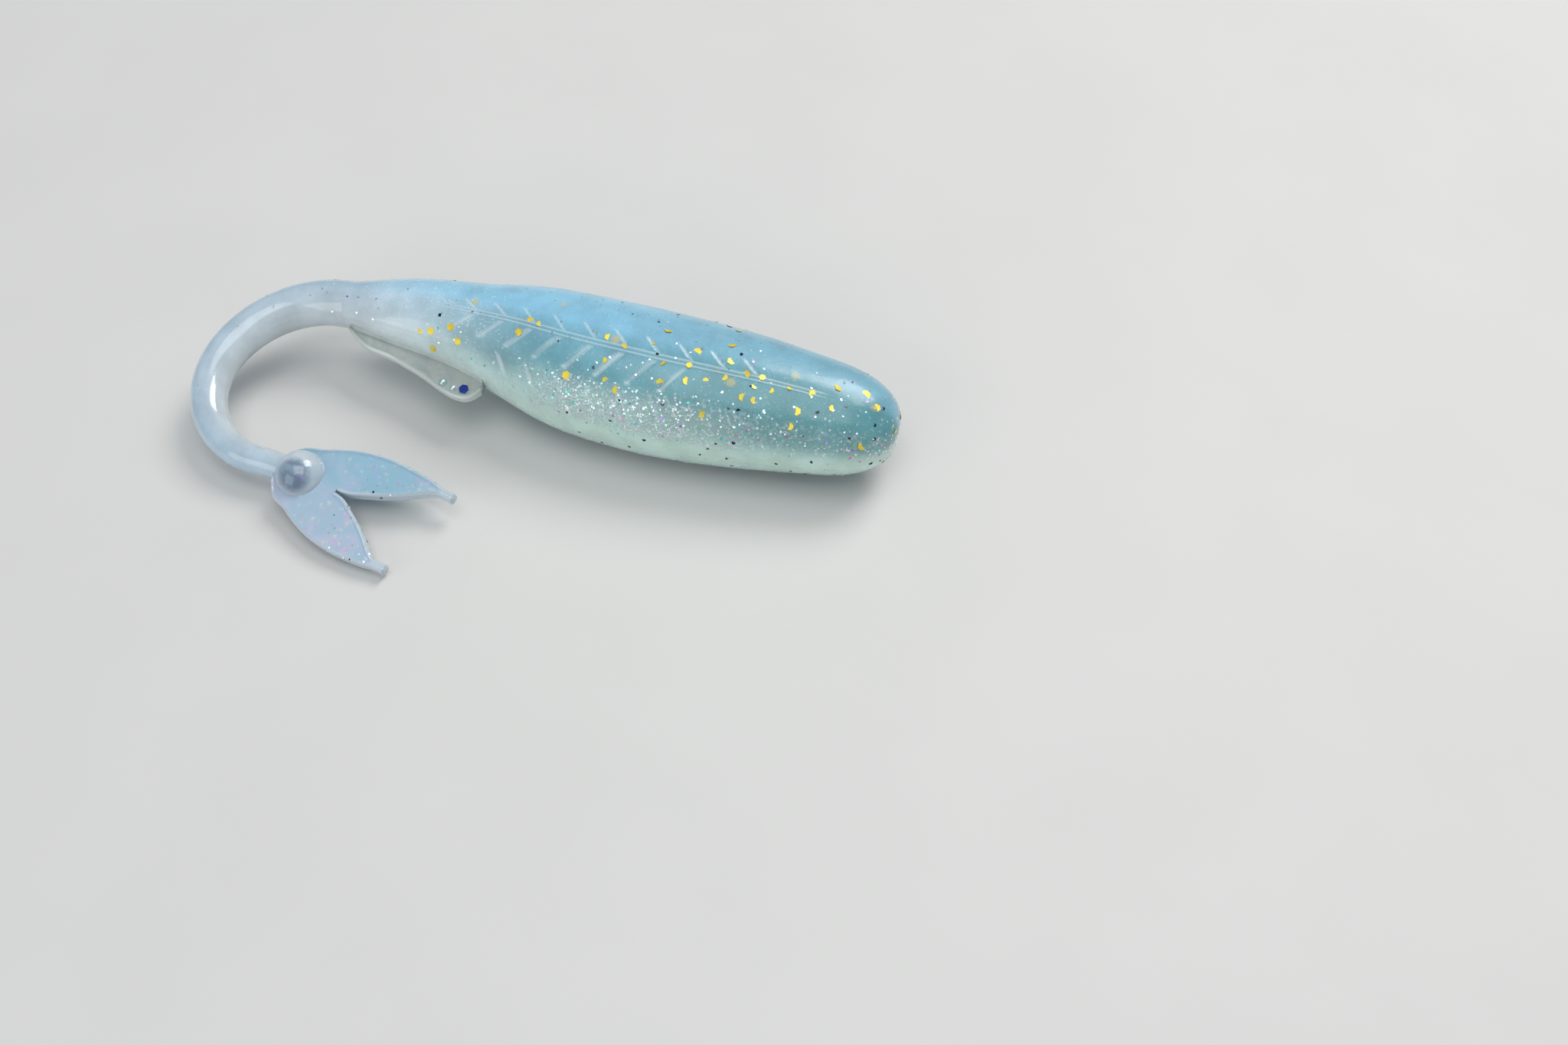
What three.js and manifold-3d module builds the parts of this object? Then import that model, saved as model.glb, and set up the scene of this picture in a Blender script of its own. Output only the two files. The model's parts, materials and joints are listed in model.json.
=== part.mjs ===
// Soft plastic worm: a fork-tailed fishing lure, laid on its flank with its tail curled.
//
// Mould frame, used by every function below: x runs to the nose, y to the back (dorsal side)
// and z to the flank. The whole worm is then rolled about x until its tail touches the table.
// All lengths are in millimetres and all angles in radians.

import * as THREE from 'three';
import * as BufferGeometryUtils from 'three/addons/utils/BufferGeometryUtils.js';
import Module from 'manifold-3d';

const wasm = await Module();
wasm.setup();

// ---- driving dimensions ------------------------------------------------------------------

const degrees = THREE.MathUtils.degToRad;

const ROLL = degrees(11.9);         // the round body rolls until the tail meets the table
const AXIS_HEIGHT = 5.49;           // of the body's axis over the table
const GAP = 0.3;                    // between neighbouring solids

const NOSE_X = 22.3;
const NOSE_ROUNDING = 7.4;          // length over which the snout closes
const NOSE_POWER = 2.8;             // bluntness of the snout
const NOSE_FLAT = 0.985;            // share of the rounding before the flat hook seat
const TAIL_ROOT_X = -29.3;          // the body ends and the curled stem starts

const HEAD_END_X = 11;
const ARCH_X = -9.2;                // hinge line of the up and down bend
const FLEX_X = -12.6;               // hinge line of the sideways bend

const SECTION_POWER = 2.2;          // 2 is an ellipse, more is squarer
const SECTION_SIDES = 24;
const LAMINATE = 0;                 // height of the colour split over the middle line

// Half depth of the body and height of its middle, at a few places along x.
const HALF_DEPTH = [
  [NOSE_X, 4.3], [16.7, 5.0], [8.4, 6.05], [-2, 6.5], [-9, 6.05],
  [-17.6, 4.2], [-23, 3.4], [TAIL_ROOT_X, 2.2],
];
const MIDDLE = [
  [NOSE_X, -0.2], [12, 0], [0, 0.15], [-7, 0.6], [-14, 1.5], [-20, 2.05], [TAIL_ROOT_X, 2.05],
];
const BODY_WIDTH_RATIO = 0.86;      // half width over half depth, from the nose to the middle
const ROUND_FROM_X = -3;            // the section turns round from here to the tail root

const STEM_RADIUS_START = 2.2;
const STEM_RADIUS_END = 1.15;
const STEM_SEGMENTS = 6;
const STEM_SIDES = 16;
const STEM_ARCS = [                 // the curl, from the body to the ball
  { radius: 9.84, turn: degrees(73) },
  { radius: 7.7, turn: degrees(105) },
  { radius: 21, turn: degrees(-11.2) },
];

const BALL_RADIUS = 2.15;
const FORK_HEADING = degrees(-14);
const PLATE_THICKNESS = 1.25;
const LOBE_ROOT = 3.6;              // hinge line of the lobes, from the ball's middle
const LOBE_GAP = 0.6;               // room at the hinge line for the lobe to flap
// Each lobe's tip behind the ball's middle, and its half heights at the tip and at the ball.
const UPPER_LOBE = { tip: 12.2, halfHeight: 4.8, startHalfHeight: 1.0 };
const LOWER_LOBE = { tip: 10.6, halfHeight: 4.9, startHalfHeight: 1.7 };
const NUB_LENGTH = 1.0;
const NUB_INSET = 0.1;              // how much narrower the nub is than the lobe's tip
const CROTCH = 4.2;                 // where the two lobes part, from the ball's middle
const WEB_START = 2.3;              // where the web's outline starts, ahead of the ball's middle

const KEEL_THICKNESS = 1.5;
const KEEL_REAR_X = -27.2;
const KEEL_FRONT_X = -15.2;
const KEEL_CLEARANCE = 0.6;         // room under the belly for the fin to fold sideways

// How far each kind of hinge bends to one side; end faces are cut back by half of it.
const BODY_BEND = degrees(26);
const TAIL_SWING = degrees(42);
const CURL_BEND = degrees(34);

// ---- profile of the body ------------------------------------------------------------------

/** A smooth line through [x, value] pairs, read at any x by halving the interval. */
function smoothLine(pairs) {
  const points = pairs.map(([x, value]) => new THREE.Vector2(x, value));
  const curve = new THREE.SplineCurve(points);
  return (x) => {
    let low = 0;
    let high = 1;
    for (let step = 0; step < 40; step++) {
      const middle = (low + high) / 2;
      if (curve.getPoint(middle).x > x) low = middle;
      else high = middle;
    }
    return curve.getPoint(low).y;
  };
}

const depthLine = smoothLine(HALF_DEPTH);
const middleLine = smoothLine(MIDDLE);

/** Share of the full section left at x, which falls from 1 where the snout starts to close. */
function snoutShare(x) {
  const t = Math.max(0, (x - (NOSE_X - NOSE_ROUNDING * NOSE_FLAT)) / NOSE_ROUNDING);
  return (1 - t ** NOSE_POWER) ** (1 / NOSE_POWER);
}

/** Half depth of the body at x. */
function halfDepth(x) {
  return depthLine(x) * snoutShare(x);
}

/** Half width of the body at x. */
function halfWidth(x) {
  const t = THREE.MathUtils.smoothstep(-x, -ROUND_FROM_X, -TAIL_ROOT_X);
  return halfDepth(x) * THREE.MathUtils.lerp(BODY_WIDTH_RATIO, 1, t);
}

/** Point of a rounded section at an angle, 0 on the flank and a quarter turn on the back. */
function sectionPoint(angle, depth, width) {
  const power = 2 / SECTION_POWER;
  const soften = (value) => Math.sign(value) * Math.abs(value) ** power;
  return new THREE.Vector2(width * soften(Math.cos(angle)), depth * soften(Math.sin(angle)));
}

// ---- line of the curled stem ----------------------------------------------------------------

const STEM_LENGTH = STEM_ARCS.reduce((sum, arc) => sum + arc.radius * Math.abs(arc.turn), 0);

/** Place and heading on the stem's middle line, at a distance from the tail root. */
function stemStation(distance) {
  const place = new THREE.Vector2(TAIL_ROOT_X, MIDDLE.at(-1)[1]);
  let heading = Math.PI;
  let left = distance;
  for (const arc of STEM_ARCS) {
    const radius = arc.radius * Math.sign(arc.turn);
    const run = Math.min(left, arc.radius * Math.abs(arc.turn));
    const next = heading + run / radius;
    place.x += radius * (Math.sin(next) - Math.sin(heading));
    place.y -= radius * (Math.cos(next) - Math.cos(heading));
    heading = next;
    left -= run;
  }
  return { place, heading };
}

/** Radius of the stem at a distance from the tail root. */
function stemRadius(distance) {
  return THREE.MathUtils.lerp(STEM_RADIUS_START, STEM_RADIUS_END, distance / STEM_LENGTH);
}

// ---- closed solids ----------------------------------------------------------------------------

/** A closed body from rings of equal length, with a fan over each end ring. */
function loft(rings, centres) {
  const sides = rings[0].length;
  const points = [...rings.flat(), ...centres];
  const index = [];
  for (let ring = 0; ring + 1 < rings.length; ring++) {
    for (let side = 0; side < sides; side++) {
      const a = ring * sides + side;
      const b = ring * sides + ((side + 1) % sides);
      index.push(a, b, b + sides, a, b + sides, a + sides);
    }
  }
  const first = rings.length * sides;
  const last = (rings.length - 1) * sides;
  for (let side = 0; side < sides; side++) {
    const next = (side + 1) % sides;
    index.push(first, next, side);
    index.push(first + 1, last + side, last + next);
  }
  const geometry = new THREE.BufferGeometry().setFromPoints(points);
  geometry.setIndex(index);
  return geometry;
}

/** The manifold-3d solid of a closed geometry. */
function toSolid(geometry) {
  const bare = geometry.clone();
  bare.deleteAttribute('normal');
  bare.deleteAttribute('uv');
  const merged = BufferGeometryUtils.mergeVertices(bare, 1e-4);
  const vertProperties = new Float32Array(merged.attributes.position.array);
  const triVerts = new Uint32Array(merged.index.array);
  return new wasm.Manifold(new wasm.Mesh({ numProp: 3, vertProperties, triVerts }));
}

/** The three.js geometry of a manifold-3d solid. */
function toGeometry(solid) {
  const mesh = solid.getMesh();
  const geometry = new THREE.BufferGeometry();
  geometry.setAttribute('position', new THREE.BufferAttribute(mesh.vertProperties, 3));
  geometry.setIndex(new THREE.BufferAttribute(mesh.triVerts, 1));
  return geometry;
}

// ---- materials ----------------------------------------------------------------------------------

/** Pearl blue plastisol of the back. */
function backMaterial() {
  return new THREE.MeshStandardMaterial({ color: 0x6fa3b8, roughness: 0.22, metalness: 0.1 });
}

/** Clear plastisol of the belly, with a green cast. */
function bellyMaterial() {
  return new THREE.MeshStandardMaterial({ color: 0x9fbcae, roughness: 0.18, metalness: 0 });
}

/** Milky clear plastisol of the tail. */
function tailMaterial() {
  return new THREE.MeshStandardMaterial({ color: 0xb9c8cf, roughness: 0.2, metalness: 0 });
}

/** A named mesh. */
function piece(name, geometry, material) {
  const mesh = new THREE.Mesh(geometry, material);
  mesh.name = name;
  return mesh;
}

// ---- body -----------------------------------------------------------------------------------------

/** How far an end face is cut back at a point off the hinge line, for a bend to either side. */
function cutBack(offset, bend) {
  return Math.abs(offset) * Math.tan(bend / 2);
}

/** Outline of the back or the belly at x, in (z, y), with its chord's middle as a point. */
function halfSection(x, layer) {
  const depth = halfDepth(x);
  const width = halfWidth(x);
  const level = (LAMINATE + (layer === 'back' ? GAP / 2 : -GAP / 2)) / depth;
  const start = Math.sign(level) * Math.asin(Math.abs(level) ** (SECTION_POWER / 2));
  const span = layer === 'back' ? Math.PI - 2 * start : -Math.PI - 2 * start;
  const steps = SECTION_SIDES / 2;
  const outline = [];
  for (let step = 0; step <= steps; step++) {
    outline.push(sectionPoint(start + (span * step) / steps, depth, width));
  }
  outline.push(new THREE.Vector2(0, outline[0].y));
  return layer === 'back' ? outline : outline.reverse();
}

/** Distance off the hinge line that an end face is cut back by, for each kind of end. */
const END_OFFSET = {
  flat: () => 0,
  arch: (point) => point.y,
  flex: (point) => point.x,
};

/** One layer of the body from x = front to x = back, each end cut for its hinge. */
function bodyLayer(layer, front, back, frontEnd, backEnd, gaps) {
  const rings = [];
  const length = front - back;
  for (let ring = 0; ring <= gaps; ring++) {
    const x = front - (length * ring) / gaps;
    const end = ring === 0 ? frontEnd : backEnd;
    const inward = ring === 0 ? -1 : Number(ring === gaps);
    rings.push(halfSection(x, layer).map((point) => {
      const shift = inward * cutBack(END_OFFSET[end](point), BODY_BEND);
      return new THREE.Vector3(x + shift, point.y + middleLine(x), point.x);
    }));
  }
  const centres = [front, back].map((x, side) => {
    const end = side === 0 ? frontEnd : backEnd;
    const rise = (layer === 'back' ? 0.5 : -0.5) * halfDepth(x);
    const inward = side === 0 ? -1 : 1;
    const shift = inward * cutBack(END_OFFSET[end]({ x: 0, y: rise }), BODY_BEND);
    return new THREE.Vector3(x + shift, rise + middleLine(x), 0);
  });
  return loft(rings, centres);
}

/** The part of a solid that lies over the table, which leaves a flat patch to rest on. */
function overTable(geometry) {
  const reach = 60;
  const table = new THREE.BoxGeometry(2 * reach, 2 * reach, reach);
  table.translate(0, 0, -reach / 2 - AXIS_HEIGHT);
  table.rotateX(-ROLL);
  return toGeometry(toSolid(geometry).subtract(toSolid(table)));
}

/** Back and belly layers of the head, the trunk, the waist and the rear. */
function buildBody() {
  const group = new THREE.Group();
  const stretches = [
    { name: 'head', from: NOSE_X, to: HEAD_END_X + GAP / 2, ends: ['flat', 'flat'], gaps: 9 },
    { name: 'trunk', from: HEAD_END_X - GAP / 2, to: ARCH_X + GAP / 2, ends: ['flat', 'arch'], gaps: 7 },
    { name: 'waist', from: ARCH_X - GAP / 2, to: FLEX_X + GAP / 2, ends: ['arch', 'flex'], gaps: 2 },
    { name: 'rear', from: FLEX_X - GAP / 2, to: TAIL_ROOT_X + GAP / 2, ends: ['flex', 'flex'], gaps: 7 },
  ];
  for (const { name, from, to, ends, gaps } of stretches) {
    for (const layer of ['back', 'belly']) {
      const solid = bodyLayer(layer, from, to, ends[0], ends[1], gaps);
      const material = layer === 'back' ? backMaterial() : bellyMaterial();
      group.add(piece(`${name}_${layer}`, overTable(solid), material));
    }
  }
  return group;
}

// ---- keel -------------------------------------------------------------------------------------------

/** Height of the belly's lowest line at x. */
function bellyLine(x) {
  return middleLine(x) - halfDepth(x);
}

/** The thin clear fin under the rear of the body. */
function buildKeel() {
  const rear = KEEL_REAR_X;
  const front = KEEL_FRONT_X;
  const outline = new THREE.Shape();
  const steps = 8;
  outline.moveTo(rear, bellyLine(rear) - KEEL_CLEARANCE);
  for (let step = 1; step <= steps; step++) {
    const x = THREE.MathUtils.lerp(rear, front, step / steps);
    outline.lineTo(x, bellyLine(x) - KEEL_CLEARANCE);
  }
  outline.quadraticCurveTo(-15.1, -5.35, -16.6, -5.3);
  outline.quadraticCurveTo(-18.4, -5.0, -20, -3.95);
  outline.quadraticCurveTo(-22, -2.75, -24.5, -2.6);
  outline.quadraticCurveTo(-26.6, -2.3, rear, bellyLine(rear) - KEEL_CLEARANCE);
  const settings = { depth: KEEL_THICKNESS, bevelEnabled: false, curveSegments: 4 };
  const geometry = new THREE.ExtrudeGeometry(outline, settings);
  geometry.translate(0, 0, -KEEL_THICKNESS / 2);
  return piece('keel_fin', geometry, bellyMaterial());
}

// ---- stem -------------------------------------------------------------------------------------------

/** One length of the stem, with both ends cut back for their hinges. */
function stemSegment(start, end, startBend, endBend) {
  const gaps = 4;
  const rings = [];
  const centres = [];
  for (let ring = 0; ring <= gaps; ring++) {
    const distance = THREE.MathUtils.lerp(start, end, ring / gaps);
    const { place, heading } = stemStation(distance);
    const radius = stemRadius(distance);
    const along = new THREE.Vector3(Math.cos(heading), Math.sin(heading), 0);
    const out = new THREE.Vector3(Math.sin(heading), -Math.cos(heading), 0);
    const middle = new THREE.Vector3(place.x, place.y, 0);
    const points = [];
    for (let side = 0; side < STEM_SIDES; side++) {
      const angle = (2 * Math.PI * side) / STEM_SIDES;
      const rise = radius * Math.sin(angle);
      const width = radius * Math.cos(angle);
      let shift = 0;
      if (ring === 0) shift = cutBack(startBend.sideways ? width : rise, startBend.bend);
      if (ring === gaps) shift = -cutBack(endBend.sideways ? width : rise, endBend.bend);
      const point = middle.clone().addScaledVector(out, rise).addScaledVector(along, shift);
      point.z = width;
      points.push(point);
    }
    rings.push(points);
    if (ring === 0 || ring === gaps) centres.push(middle);
  }
  return loft(rings, centres);
}

/** The stem's segments, stem_1 at the body to stem_6 at the ball. */
function buildStem() {
  const group = new THREE.Group();
  const reach = STEM_LENGTH - BALL_RADIUS;
  const swing = { sideways: true, bend: TAIL_SWING };
  const curl = { sideways: false, bend: CURL_BEND };
  const twist = { sideways: false, bend: 0 };
  for (let number = 1; number <= STEM_SEGMENTS; number++) {
    const start = (reach * (number - 1)) / STEM_SEGMENTS + GAP / 2;
    const end = (reach * number) / STEM_SEGMENTS - GAP / 2;
    const startBend = number === 1 ? swing : curl;
    const endBend = number === STEM_SEGMENTS ? twist : curl;
    const geometry = stemSegment(start, end, startBend, endBend);
    group.add(piece(`stem_${number}`, geometry, tailMaterial()));
  }
  return group;
}

// ---- tail: ball, web and forked lobes ------------------------------------------------------------------

/** A flat plate of the tail's thickness, centred on the fork's plane. */
function plate(shape) {
  const settings = { depth: PLATE_THICKNESS, bevelEnabled: false, curveSegments: 8 };
  const geometry = new THREE.ExtrudeGeometry(shape, settings);
  geometry.translate(0, 0, -PLATE_THICKNESS / 2);
  return geometry;
}

/** Half height of the fork's outer edge at a distance behind the ball's middle. */
function outerEdge(lobe, distance) {
  const t = Math.max(0, distance + WEB_START) / (lobe.tip + WEB_START);
  const swell = Math.sin((Math.min(1, 1.35 * t) * Math.PI) / 2) ** 0.6;
  return THREE.MathUtils.lerp(lobe.startHalfHeight, lobe.halfHeight, swell);
}

/** Half height of the slot between the lobes at a distance behind the ball's middle. */
function innerEdge(lobe, distance) {
  const t = Math.max(0, (distance - CROTCH) / (lobe.tip - CROTCH));
  return GAP / 2 + 3.6 * t ** 1.15;
}

/** The thin web round the ball, from the stem to the lobes' hinge line. */
function webShape() {
  const start = GAP - WEB_START;
  const end = LOBE_ROOT - LOBE_GAP / 2;
  const steps = 7;
  const shape = new THREE.Shape();
  shape.moveTo(start, 0);
  for (const side of [-1, 1]) {
    const lobe = side < 0 ? LOWER_LOBE : UPPER_LOBE;
    for (let step = 0; step <= steps; step++) {
      const t = side < 0 ? step / steps : 1 - step / steps;
      const distance = THREE.MathUtils.lerp(start, end, t);
      shape.lineTo(distance, side * outerEdge(lobe, distance));
    }
  }
  return shape;
}

/** One lobe's outline, drawn on the upper side, from the hinge line to the tip. */
function lobeShape(lobe) {
  const start = LOBE_ROOT + LOBE_GAP / 2;
  const steps = 10;
  const shape = new THREE.Shape();
  shape.moveTo(start, innerEdge(lobe, start));
  for (let step = 1; step <= steps; step++) {
    const distance = THREE.MathUtils.lerp(start, lobe.tip, step / steps);
    shape.lineTo(distance, innerEdge(lobe, distance));
  }
  for (let step = steps; step >= 0; step--) {
    const distance = THREE.MathUtils.lerp(start, lobe.tip, step / steps);
    shape.lineTo(distance, outerEdge(lobe, distance));
  }
  return shape;
}

/** The squared nub that the mould leaves on a lobe's tip. */
function nubShape(lobe) {
  const start = lobe.tip + GAP;
  const low = innerEdge(lobe, lobe.tip) + NUB_INSET;
  const high = outerEdge(lobe, lobe.tip) - NUB_INSET;
  const shape = new THREE.Shape();
  shape.moveTo(start, low);
  shape.lineTo(start + NUB_LENGTH, low + NUB_INSET);
  shape.lineTo(start + NUB_LENGTH, high - NUB_INSET / 2);
  shape.lineTo(start, high);
  return shape;
}

/** A plate that was drawn on the upper side, turned over to the lower side. */
function turnedOver(geometry) {
  return geometry.rotateX(Math.PI);
}

/** Ball, web, lobes and nubs, in a group that is turned to the fork's heading. */
function buildTail() {
  const group = new THREE.Group();
  const { place } = stemStation(STEM_LENGTH);
  group.position.set(place.x, place.y, 0);
  group.rotation.z = FORK_HEADING;

  const ball = new THREE.SphereGeometry(BALL_RADIUS, 24, 14);
  group.add(piece('tail_ball', ball, tailMaterial()));

  const hollow = new THREE.SphereGeometry(BALL_RADIUS + GAP, 24, 14);
  const web = toGeometry(toSolid(plate(webShape())).subtract(toSolid(hollow)));
  group.add(piece('tail_web', web, tailMaterial()));

  group.add(piece('lobe_upper', plate(lobeShape(UPPER_LOBE)), tailMaterial()));
  group.add(piece('lobe_upper_tip', plate(nubShape(UPPER_LOBE)), tailMaterial()));
  group.add(piece('lobe_lower', turnedOver(plate(lobeShape(LOWER_LOBE))), tailMaterial()));
  group.add(piece('lobe_lower_tip', turnedOver(plate(nubShape(LOWER_LOBE))), tailMaterial()));
  return group;
}

// ---- the whole worm ---------------------------------------------------------------------------------------

/** The worm on its flank, its box centred over the origin and its lowest face at z = 0. */
function buildWorm() {
  const rolled = new THREE.Group();
  rolled.add(buildBody(), buildKeel(), buildStem(), buildTail());
  rolled.rotation.x = ROLL;

  const worm = new THREE.Group();
  worm.add(rolled);
  worm.updateMatrixWorld(true);
  const box = new THREE.Box3().setFromObject(worm, true);
  const middle = box.getCenter(new THREE.Vector3());
  rolled.position.set(-middle.x, -middle.y, -box.min.z);
  return worm;
}

const worm = buildWorm();

export default worm;
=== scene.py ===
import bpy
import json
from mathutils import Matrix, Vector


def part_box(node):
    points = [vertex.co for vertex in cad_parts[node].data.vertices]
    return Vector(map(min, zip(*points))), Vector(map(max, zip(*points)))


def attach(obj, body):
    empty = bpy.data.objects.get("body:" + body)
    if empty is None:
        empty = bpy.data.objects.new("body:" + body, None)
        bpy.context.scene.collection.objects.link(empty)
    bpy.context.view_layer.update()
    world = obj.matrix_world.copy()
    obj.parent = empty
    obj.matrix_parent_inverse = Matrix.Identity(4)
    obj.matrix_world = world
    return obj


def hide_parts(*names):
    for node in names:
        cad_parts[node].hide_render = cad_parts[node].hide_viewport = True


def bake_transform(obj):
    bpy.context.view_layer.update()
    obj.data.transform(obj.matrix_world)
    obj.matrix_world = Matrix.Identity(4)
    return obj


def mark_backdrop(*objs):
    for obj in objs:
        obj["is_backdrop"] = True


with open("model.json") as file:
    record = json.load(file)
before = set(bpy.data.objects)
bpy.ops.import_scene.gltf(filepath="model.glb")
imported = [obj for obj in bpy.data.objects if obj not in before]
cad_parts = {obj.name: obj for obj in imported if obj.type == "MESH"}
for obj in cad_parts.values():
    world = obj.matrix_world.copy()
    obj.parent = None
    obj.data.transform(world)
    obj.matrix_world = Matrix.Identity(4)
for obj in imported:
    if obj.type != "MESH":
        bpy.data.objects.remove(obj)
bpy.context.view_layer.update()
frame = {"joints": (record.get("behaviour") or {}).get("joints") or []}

import json
import logging
import math
from dataclasses import dataclass, field
from enum import Enum
from typing import Callable, Optional, Sequence

import bmesh
import bpy
import numpy as np
from mathutils import Matrix, Vector

log = logging.getLogger("worm")

MM = 0.001                   # metres in a millimetre
TURN = 2 * math.pi
Colour = tuple[float, float, float]


# ---- small tools ---------------------------------------------------------------------------------

def linear(red: int, green: int, blue: int) -> Colour:
    """Turns an 8 bit display colour into the linear colour that shaders take.

    Args:
        red: The red channel, 0 to 255.
        green: The green channel, 0 to 255.
        blue: The blue channel, 0 to 255.

    Returns:
        The three linear channels, 0 to 1.
    """
    shares = [channel / 255 for channel in (red, green, blue)]
    return tuple(s / 12.92 if s <= 0.04045 else ((s + 0.055) / 1.055) ** 2.4 for s in shares)


def smooth_line(pairs: Sequence[tuple[float, float]]) -> Callable[[np.ndarray], np.ndarray]:
    """Makes a smooth function that runs through a few points.

    Args:
        pairs: Points as (x, value), in either order of x.

    Returns:
        A function from an array of x to the array of values.
    """
    xs, values = np.array(sorted(pairs), float).T
    slopes = np.gradient(values, xs)

    def value_at(x: np.ndarray) -> np.ndarray:
        """Cubic Hermite value at each x."""
        x = np.clip(np.asarray(x, float), xs[0], xs[-1])
        i = np.clip(np.searchsorted(xs, x) - 1, 0, len(xs) - 2)
        h = xs[i + 1] - xs[i]
        t = (x - xs[i]) / h
        return (
            (2 * t**3 - 3 * t**2 + 1) * values[i]
            + (t**3 - 2 * t**2 + t) * h * slopes[i]
            + (3 * t**2 - 2 * t**3) * values[i + 1]
            + (t**3 - t**2) * h * slopes[i + 1]
        )

    return value_at


def smooth_step(x: np.ndarray, low: float, high: float) -> np.ndarray:
    """Rises smoothly from 0 at low to 1 at high."""
    t = np.clip((x - low) / (high - low), 0, 1)
    return t * t * (3 - 2 * t)


def signed_power(x: np.ndarray, power: float) -> np.ndarray:
    """Raises the size of x to a power and keeps its sign."""
    return np.sign(x) * np.abs(x) ** power


# ---- the mould's frame and the line of the worm --------------------------------------------------

@dataclass(frozen=True)
class Mould:
    """The mould's frame: x to the nose, y to the back, z to the upper flank, in millimetres.

    The worm lies rolled on its flank, so this frame is turned about the row's X axis. Its place
    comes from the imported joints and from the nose's box.
    """

    origin: Vector
    turn: Matrix

    @classmethod
    def from_frame(cls, spine: "Spine") -> "Mould":
        """Finds the mould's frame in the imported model.

        Args:
            spine: The worm's line, whose tail root and nose are matched to the model.

        Returns:
            The mould's frame.
        """
        joints = {joint["name"]: joint for joint in frame["joints"]}
        back = joints["body_flex"]["axis"]
        turn = Matrix.Rotation(math.atan2(back[2], back[1]), 3, "X")
        root = Vector(joints["tail_swing"]["pos_m"])
        origin = root - turn @ (Vector((0, spine.root_y, 0)) * MM)
        origin.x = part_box("head_belly")[1].x - spine.nose_x * MM
        return cls(origin, turn)

    def place(self, points: np.ndarray) -> np.ndarray:
        """Takes points of the mould's frame, in an array of any shape, to metres in the row's frame."""
        flat = points.reshape(-1, 3) @ (np.array(self.turn).T * MM) + np.array(self.origin)
        return flat.reshape(points.shape)

    def point(self, x: float, y: float, z: float = 0.0) -> Vector:
        """Takes one point of the mould's frame to the row's frame."""
        return Vector(self.place(np.array([x, y, z])))


@dataclass(frozen=True)
class Arc:
    """A round stretch of the stem's middle line."""

    radius: float
    turn: float

    @property
    def length(self) -> float:
        """Length along the arc."""
        return self.radius * abs(self.turn)


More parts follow.
